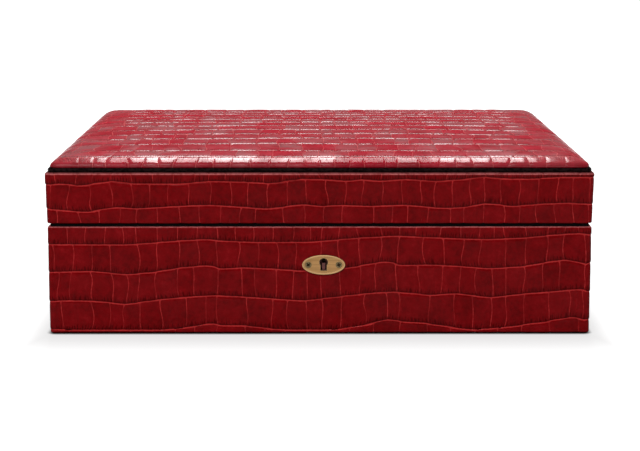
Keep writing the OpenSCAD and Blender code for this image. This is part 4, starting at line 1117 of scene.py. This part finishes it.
# front and thickness are the CAD's, the rest is how the plate is dressed
plate = {"front": lockLow.y, "thick": lockHigh.y - lockLow.y, "width": 26.2 * mm, "height": 12.2 * mm,
         "bevel": 0.35 * mm, "rim": 0.45 * mm, "sink": 0.25 * mm, "pitch": 18.6 * mm, "bore": 0.92 * mm,
         "coneRim": 2.3 * mm, "coneFoot": 0.9 * mm, "coneDepth": 1.1 * mm}
plateHole = {"radius": 2.65 * mm, "slot": 3.9 * mm, "rise": 1.5 * mm, "foot": 3.6 * mm, "segments": 48}
screwPlaces = [lockPlace.x + side * plate["pitch"] / 2 for side in (-1, 1)]


def makeEscutcheonMetal():
    # satin brass, rubbed along its length, dull in the field, with a painted highlight on the rim and a
    # painted shadow on its outer side
    material, place = newMaterial("satinBrass")
    scratches, streaks = useGroup(brushing, place, Length=0.05)
    bumps, patches = useGroup(fineGrain, place, Size=1500.0)
    wear, = useGroup(edgeWear, place, Width=0.0005, Breakup=0.2)
    colour = blend(fade(patches, 0.3, 0.7), (0.52, 0.285, 0.105), (0.42, 0.215, 0.07))
    colour = blend(fade(streaks, 0.35, 0.7, 0.0, 0.55), colour, (0.30, 0.155, 0.05))
    colour = blend(wear * 0.5, colour, (0.78, 0.56, 0.32))
    # the rim stands before the field and is painted paler, a painted highlight, and its outer side is painted
    # dark, a painted shadow outline
    depth, facing = axes(place)[1], axes(put("TexCoord", result="Normal"))[1]
    rim = fade(depth, plate["front"] + 0.2 * mm, plate["front"] + 0.06 * mm, 0.0, 0.75)
    colour = blend(rim, colour, (0.72, 0.44, 0.20))
    return dress(material, {"Base Color": blend(fade(facing, -0.75, -0.3), colour, (0.05, 0.016, 0.008)),
                            "Metallic": 0.6, "Roughness": streaks * 0.15 + 0.42},
                 scratches + bumps, 0.2, 0.00005)


def makeEscutcheon():
    front, z = plate["front"], lockPlace.z
    oval = addShape(bpy.ops.mesh.primitive_cylinder_add, "oval", (plate["width"] / plate["height"], 1, 1),
                    vertices=128, radius=plate["height"] / 2, depth=plate["thick"], location=lockPlace,
                    rotation=(math.pi / 2, 0, 0))
    oval.data.materials.append(makeEscutcheonMetal())
    spots = oval.data.vertices
    pick(oval, "EDGE", oval.data.edges,
         lambda edge: all(abs(spots[v].co.y - front) < 1e-5 for v in edge.vertices))
    bpy.ops.mesh.bevel(offset=plate["bevel"], segments=4, profile=0.5)
    bpy.ops.object.mode_set(mode="OBJECT")
    # the field lies a little under the rim
    pick(oval, "FACE", oval.data.polygons,
         lambda face: abs(face.center.y - front) < 1e-5 and face.normal.y < -0.99)
    bpy.ops.mesh.inset(thickness=plate["rim"], depth=0)
    bpy.ops.mesh.inset(thickness=plate["sink"], depth=-plate["sink"])
    bpy.ops.object.mode_set(mode="OBJECT")
    near, far = front - 0.001, front + 0.003
    cutKeyhole(oval, plateHole, near, far, paintedRecessShade)
    for x in screwPlaces:
        foot, mouth = (x, front + plate["coneDepth"], z), (x, front - 0.05 * mm, z)
        cutWith(oval, addRod("cone", plate["coneFoot"], foot, mouth, 40, plate["coneRim"]), paintedRecessShade)
        cutWith(oval, addRod("bore", plate["bore"], (x, near, z), (x, far, z)), paintedRecessShade)
    finishPiece(oval, "escutcheonPlate", "case", ["escutcheon"], 35)


# all in millimetres: shank radius and length of each kind, the head with its cross, whose arm and
# width are shares of the head, and the places of the hinge and lock screws across the box
screws = {"small": (0.9, 2.2), "large": (1.1, 9.0), "head": 2.0, "headHeight": 1.0, "arm": 0.62,
          "width": 0.24, "hingeAside": 105, "hingePitch": 14, "lockPitch": 29}


def makeScrew(shankRadius, length):
    # a countersunk screw along -Z, its face at z = 0, with a cross recess
    headRadius, headHeight, arm, width = (screws[key] for key in ("head", "headHeight", "arm", "width"))
    screw = addShape(bpy.ops.mesh.primitive_cylinder_add, "screw", vertices=32, radius=shankRadius * mm,
                     depth=length * mm, location=(0, 0, -(headHeight + length / 2) * mm))
    screw.data.materials.append(agedBrass)
    pick(screw, "FACE", screw.data.polygons, lambda face: face.normal.z > 0.9)
    # cone of the head, its rim, then a low dome
    for rise, grow in ((0.82, headRadius / shankRadius), (0.12, 1.0), (0.10, 0.93), (0.03, 0.6)):
        bpy.ops.mesh.extrude_region_move(TRANSFORM_OT_translate={"value": (0, 0, rise * headHeight * mm)})
        bpy.ops.transform.resize(value=(grow, grow, 1))
    bpy.ops.object.mode_set(mode="OBJECT")
    for a, b in ((width, arm), (arm, width)):
        corner = Vector((a * headRadius * mm, b * headRadius * mm, 0))
        cutWith(screw, addBox("recess", -corner - Vector((0, 0, 0.7 * headHeight * mm)),
                              corner + Vector((0, 0, 0.001))), paintedRecessShade)
    return screw


def spreadScrews(name, node, body, pattern, spots, facing, turns):
    # copies one screw to each spot, where the middle of its face is
    copies = []
    lay = Vector(facing).to_track_quat("Z", "Y").to_matrix().to_4x4()
    for spot, turn in zip(spots, turns):
        copy = pattern.copy()
        copy.data = pattern.data.copy()
        bpy.context.collection.objects.link(copy)
        copy.data.transform(Matrix.Translation(spot) @ lay @ Matrix.Rotation(math.radians(turn), 4, "Z"))
        copies.append(copy)
    selectOnly(*copies)
    bpy.ops.object.join()
    finishPiece(bpy.context.object, name, body, [node], 35)


def makeScrews():
    rng = np.random.default_rng(5)
    small, large = makeScrew(*screws["small"]), makeScrew(*screws["large"])
    spots = [(x, plate["front"] - 0.01 * mm, lockPlace.z) for x in screwPlaces]
    spreadScrews("escutcheonScrews", "escutcheon_screws", "case", small, spots, (0, -1, 0), (38, 8))
    turns = rng.uniform(0, 90, 6)
    hingeX = [(side * screws["hingeAside"] + k * screws["hingePitch"]) * mm
              for side in (-1, 1) for k in (-1, 0, 1)]
    lockX = [lockPlace.x + side * screws["lockPitch"] * mm for side in (-1, 1)]
    for name, node, body, across, facing, angles in (
            ("hingeBodyScrews", "hinge_body_screws", "case", hingeX, 1, turns),
            ("hingeLidScrews", "hinge_lid_screws", "lid", hingeX, -1, turns + 20),
            ("lockScrews", "lock_screws", "case", lockX, 1, (12, 55)),
            ("linkPlateScrews", "link_plate_screws", "lid", lockX, -1, (70, 30))):
        low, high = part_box(node)
        face = high.z if facing > 0 else low.z
        spots = [(x, (low.y + high.y) / 2, face) for x in across]
        spreadScrews(name, node, body, large, spots, (0, 0, facing), angles)
    for pattern in (small, large):
        bpy.data.objects.remove(pattern)


makeEscutcheon()
makeScrews()
print("brass plate and screws made")


# Dial print of the hygrometer

dialPrint = {"x": 62, "z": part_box("hygrometer_dial")[0].z / mm, "radius": 16.2, "numberRadius": 11.6,
             "major": 10, "minor": 2, "size": 3.2, "sweep": 270, "low": -0.08, "high": 0.04,
             "unitRadius": 8.5, "unitSize": 3.4}


def dialAngle(reading):
    return math.radians(-90 + (reading / 100 - 0.5) * dialPrint["sweep"])


def makeDialPrint():
    material, place = newMaterial("dialInk")
    colour = blend(noise(place, 1800, 2, 0.6), (0.012, 0.012, 0.014), (0.035, 0.03, 0.03))
    dress(material, {"Base Color": colour, "Roughness": 0.6})
    parts = []
    for reading in range(0, 101, dialPrint["minor"]):
        long, width = (2.4, 0.26) if reading % dialPrint["major"] == 0 else (1.3, 0.14)
        outer, low, high = dialPrint["radius"], dialPrint["low"], dialPrint["high"]
        tick = addBox("tick", Vector((outer - long, -width, low)) * mm, Vector((outer, width, high)) * mm)
        tick.data.transform(Matrix.Translation((dialPrint["x"] * mm, 0, dialPrint["z"] * mm))
                            @ Matrix.Rotation(dialAngle(reading), 4, "Z"))
        parts.append(tick)
    words = [(str(r), dialAngle(r), dialPrint["numberRadius"], dialPrint["size"]) for r in range(0, 101, 20)]
    words.append(("%", math.radians(90), dialPrint["unitRadius"], dialPrint["unitSize"]))
    for word, angle, radius, size in words:
        bpy.ops.object.select_all(action="DESELECT")
        bpy.ops.object.text_add()
        text = bpy.context.object
        text.data.body, text.data.size = word, size * mm
        text.data.align_x, text.data.align_y = "CENTER", "CENTER"
        text.data.extrude, text.data.resolution_u = 0.00005, 4
        bpy.ops.object.convert(target="MESH")
        text = bpy.context.object
        x, y = dialPrint["x"] + radius * math.cos(angle), radius * math.sin(angle)
        text.data.transform(Matrix.Translation(Vector((x, y, dialPrint["z"] - 0.02)) * mm)
                            @ Matrix.Rotation(math.pi, 4, "X"))
        parts.append(text)
    selectOnly(*parts)
    bpy.ops.object.join()
    bpy.context.object.data.materials.clear()
    bpy.context.object.data.materials.append(material)
    finishPiece(bpy.context.object, "dialPrint", "lid", (), 30)


makeDialPrint()
print("dial printed")


# Floor, light and camera

studio = {
    # the floor glows less in a strip round the box, a painted shade, and not at all at its outline, a painted
    # contact shadow
    "floor": (0.24, 0.24, 0.24), "floorLift": 0.68, "farLift": 0.34, "shadeStripDepth": 0.07, "airLight": 0.34,
    "sideHaste": 3.0,  # the strip is that much narrower at the sides
    "corner": 4.0 * mm, "shadowFrom": -1.0 * mm, "shadowTo": 3.0 * mm,
    "skyLow": 0.24, "skyFrom": 0.12, "skyTo": 0.55,
    "lens": 96.2, "eye": (-0.0022, -1.1599, 0.2477), "down": 10.04, "aside": -0.135,
}


def makeFloor():
    floor = addShape(bpy.ops.mesh.primitive_plane_add, "floor", size=14, location=(0, 2, 0))
    material, place = newMaterial("paleFloor")
    # seen straight, in metal or through glass the floor goes over into the white backdrop. Near the box it
    # glows less, a painted grey strip of shade, and it keeps the shadow by the box
    rays = several("LightPath")
    seen = highest(rays["Is Camera Ray"], rays["Is Glossy Ray"], rays["Is Transmission Ray"])
    x, y, _ = axes(vectorMaths("ABSOLUTE", place))
    halfWidth, halfDepth, corner = bodySkin["width"] / 2 * mm, bodySkin["depth"] / 2 * mm, studio["corner"]
    away = highest((x - halfWidth) * studio["sideHaste"], y - halfDepth)
    lift = fade(away, 0.0, studio["shadeStripDepth"], 0.0, studio["farLift"]) + studio["floorLift"]
    # no glow under the box, whose outline has rounded corners, and a painted contact shadow where the glow
    # fades in just past that outline
    past = overhang(x - (halfWidth - corner), y - (halfDepth - corner))
    lift = lift * fade(past, corner + studio["shadowFrom"], corner + studio["shadowTo"])
    lighter = tuple(c * 1.03 for c in studio["floor"])
    dress(material, {"Base Color": blend(noise(place, 30), studio["floor"], lighter), "Roughness": 0.9,
                     "Specular IOR Level": 0.0, "Emission Color": (1, 1, 1),
                     "Emission Strength": seen * lift})
    floor.data.materials.append(material)


def makeWorld():
    # white to the camera and through glass. Metal and leather reflect white from above and a
    # duller backdrop from low down
    world = bpy.data.worlds.new("studioAir")
    bpy.context.scene.world = world
    world.use_nodes = True
    drawing["tree"] = world.node_tree
    back = world.node_tree.nodes["Background"]
    rays = several("LightPath")
    height = axes(put("TexCoord", result="Generated"))[2]
    sky = fade(height, studio["skyFrom"], studio["skyTo"], studio["skyLow"], 1.0)
    wire((1, 1, 1), back.inputs["Color"])
    wire(highest(rays["Is Camera Ray"], rays["Is Transmission Ray"], rays["Is Glossy Ray"] * sky,
                 rays["Is Diffuse Ray"] * studio["airLight"]), back.inputs["Strength"])


def addSoftbox(name, power, size, at, aim):
    lamp = bpy.data.lights.new(name, "AREA")
    lamp.shape, lamp.size, lamp.size_y, lamp.energy = "RECTANGLE", size[0], size[1], power
    softbox = bpy.data.objects.new(name, lamp)
    bpy.context.collection.objects.link(softbox)
    softbox.location, softbox.visible_camera = at, False
    softbox.rotation_euler = (Vector(aim) - Vector(at)).to_track_quat("-Z", "Y").to_euler()


def makeCamera():
    view = bpy.data.cameras.new("photoView")
    view.lens, view.sensor_width = studio["lens"], 36
    view.clip_start, view.clip_end = 0.05, 50
    camera = bpy.data.objects.new("photoView", view)
    bpy.context.collection.objects.link(camera)
    camera.location = studio["eye"]
    camera.rotation_euler = (math.radians(90 - studio["down"]), 0, math.radians(studio["aside"]))
    bpy.context.scene.camera = camera


makeFloor()
makeWorld()
addSoftbox("backSoftbox", 24.0, (0.68, 1.1), (0.0, 0.95, 1.3), (0, -0.1, 0.1))
addSoftbox("frontSoftbox", 14.0, (1.4, 0.9), (-0.45, -1.55, 1.35), (0, 0, 0.05))
makeCamera()
bpy.context.scene.view_settings.view_transform = "Standard"
print("studio set")
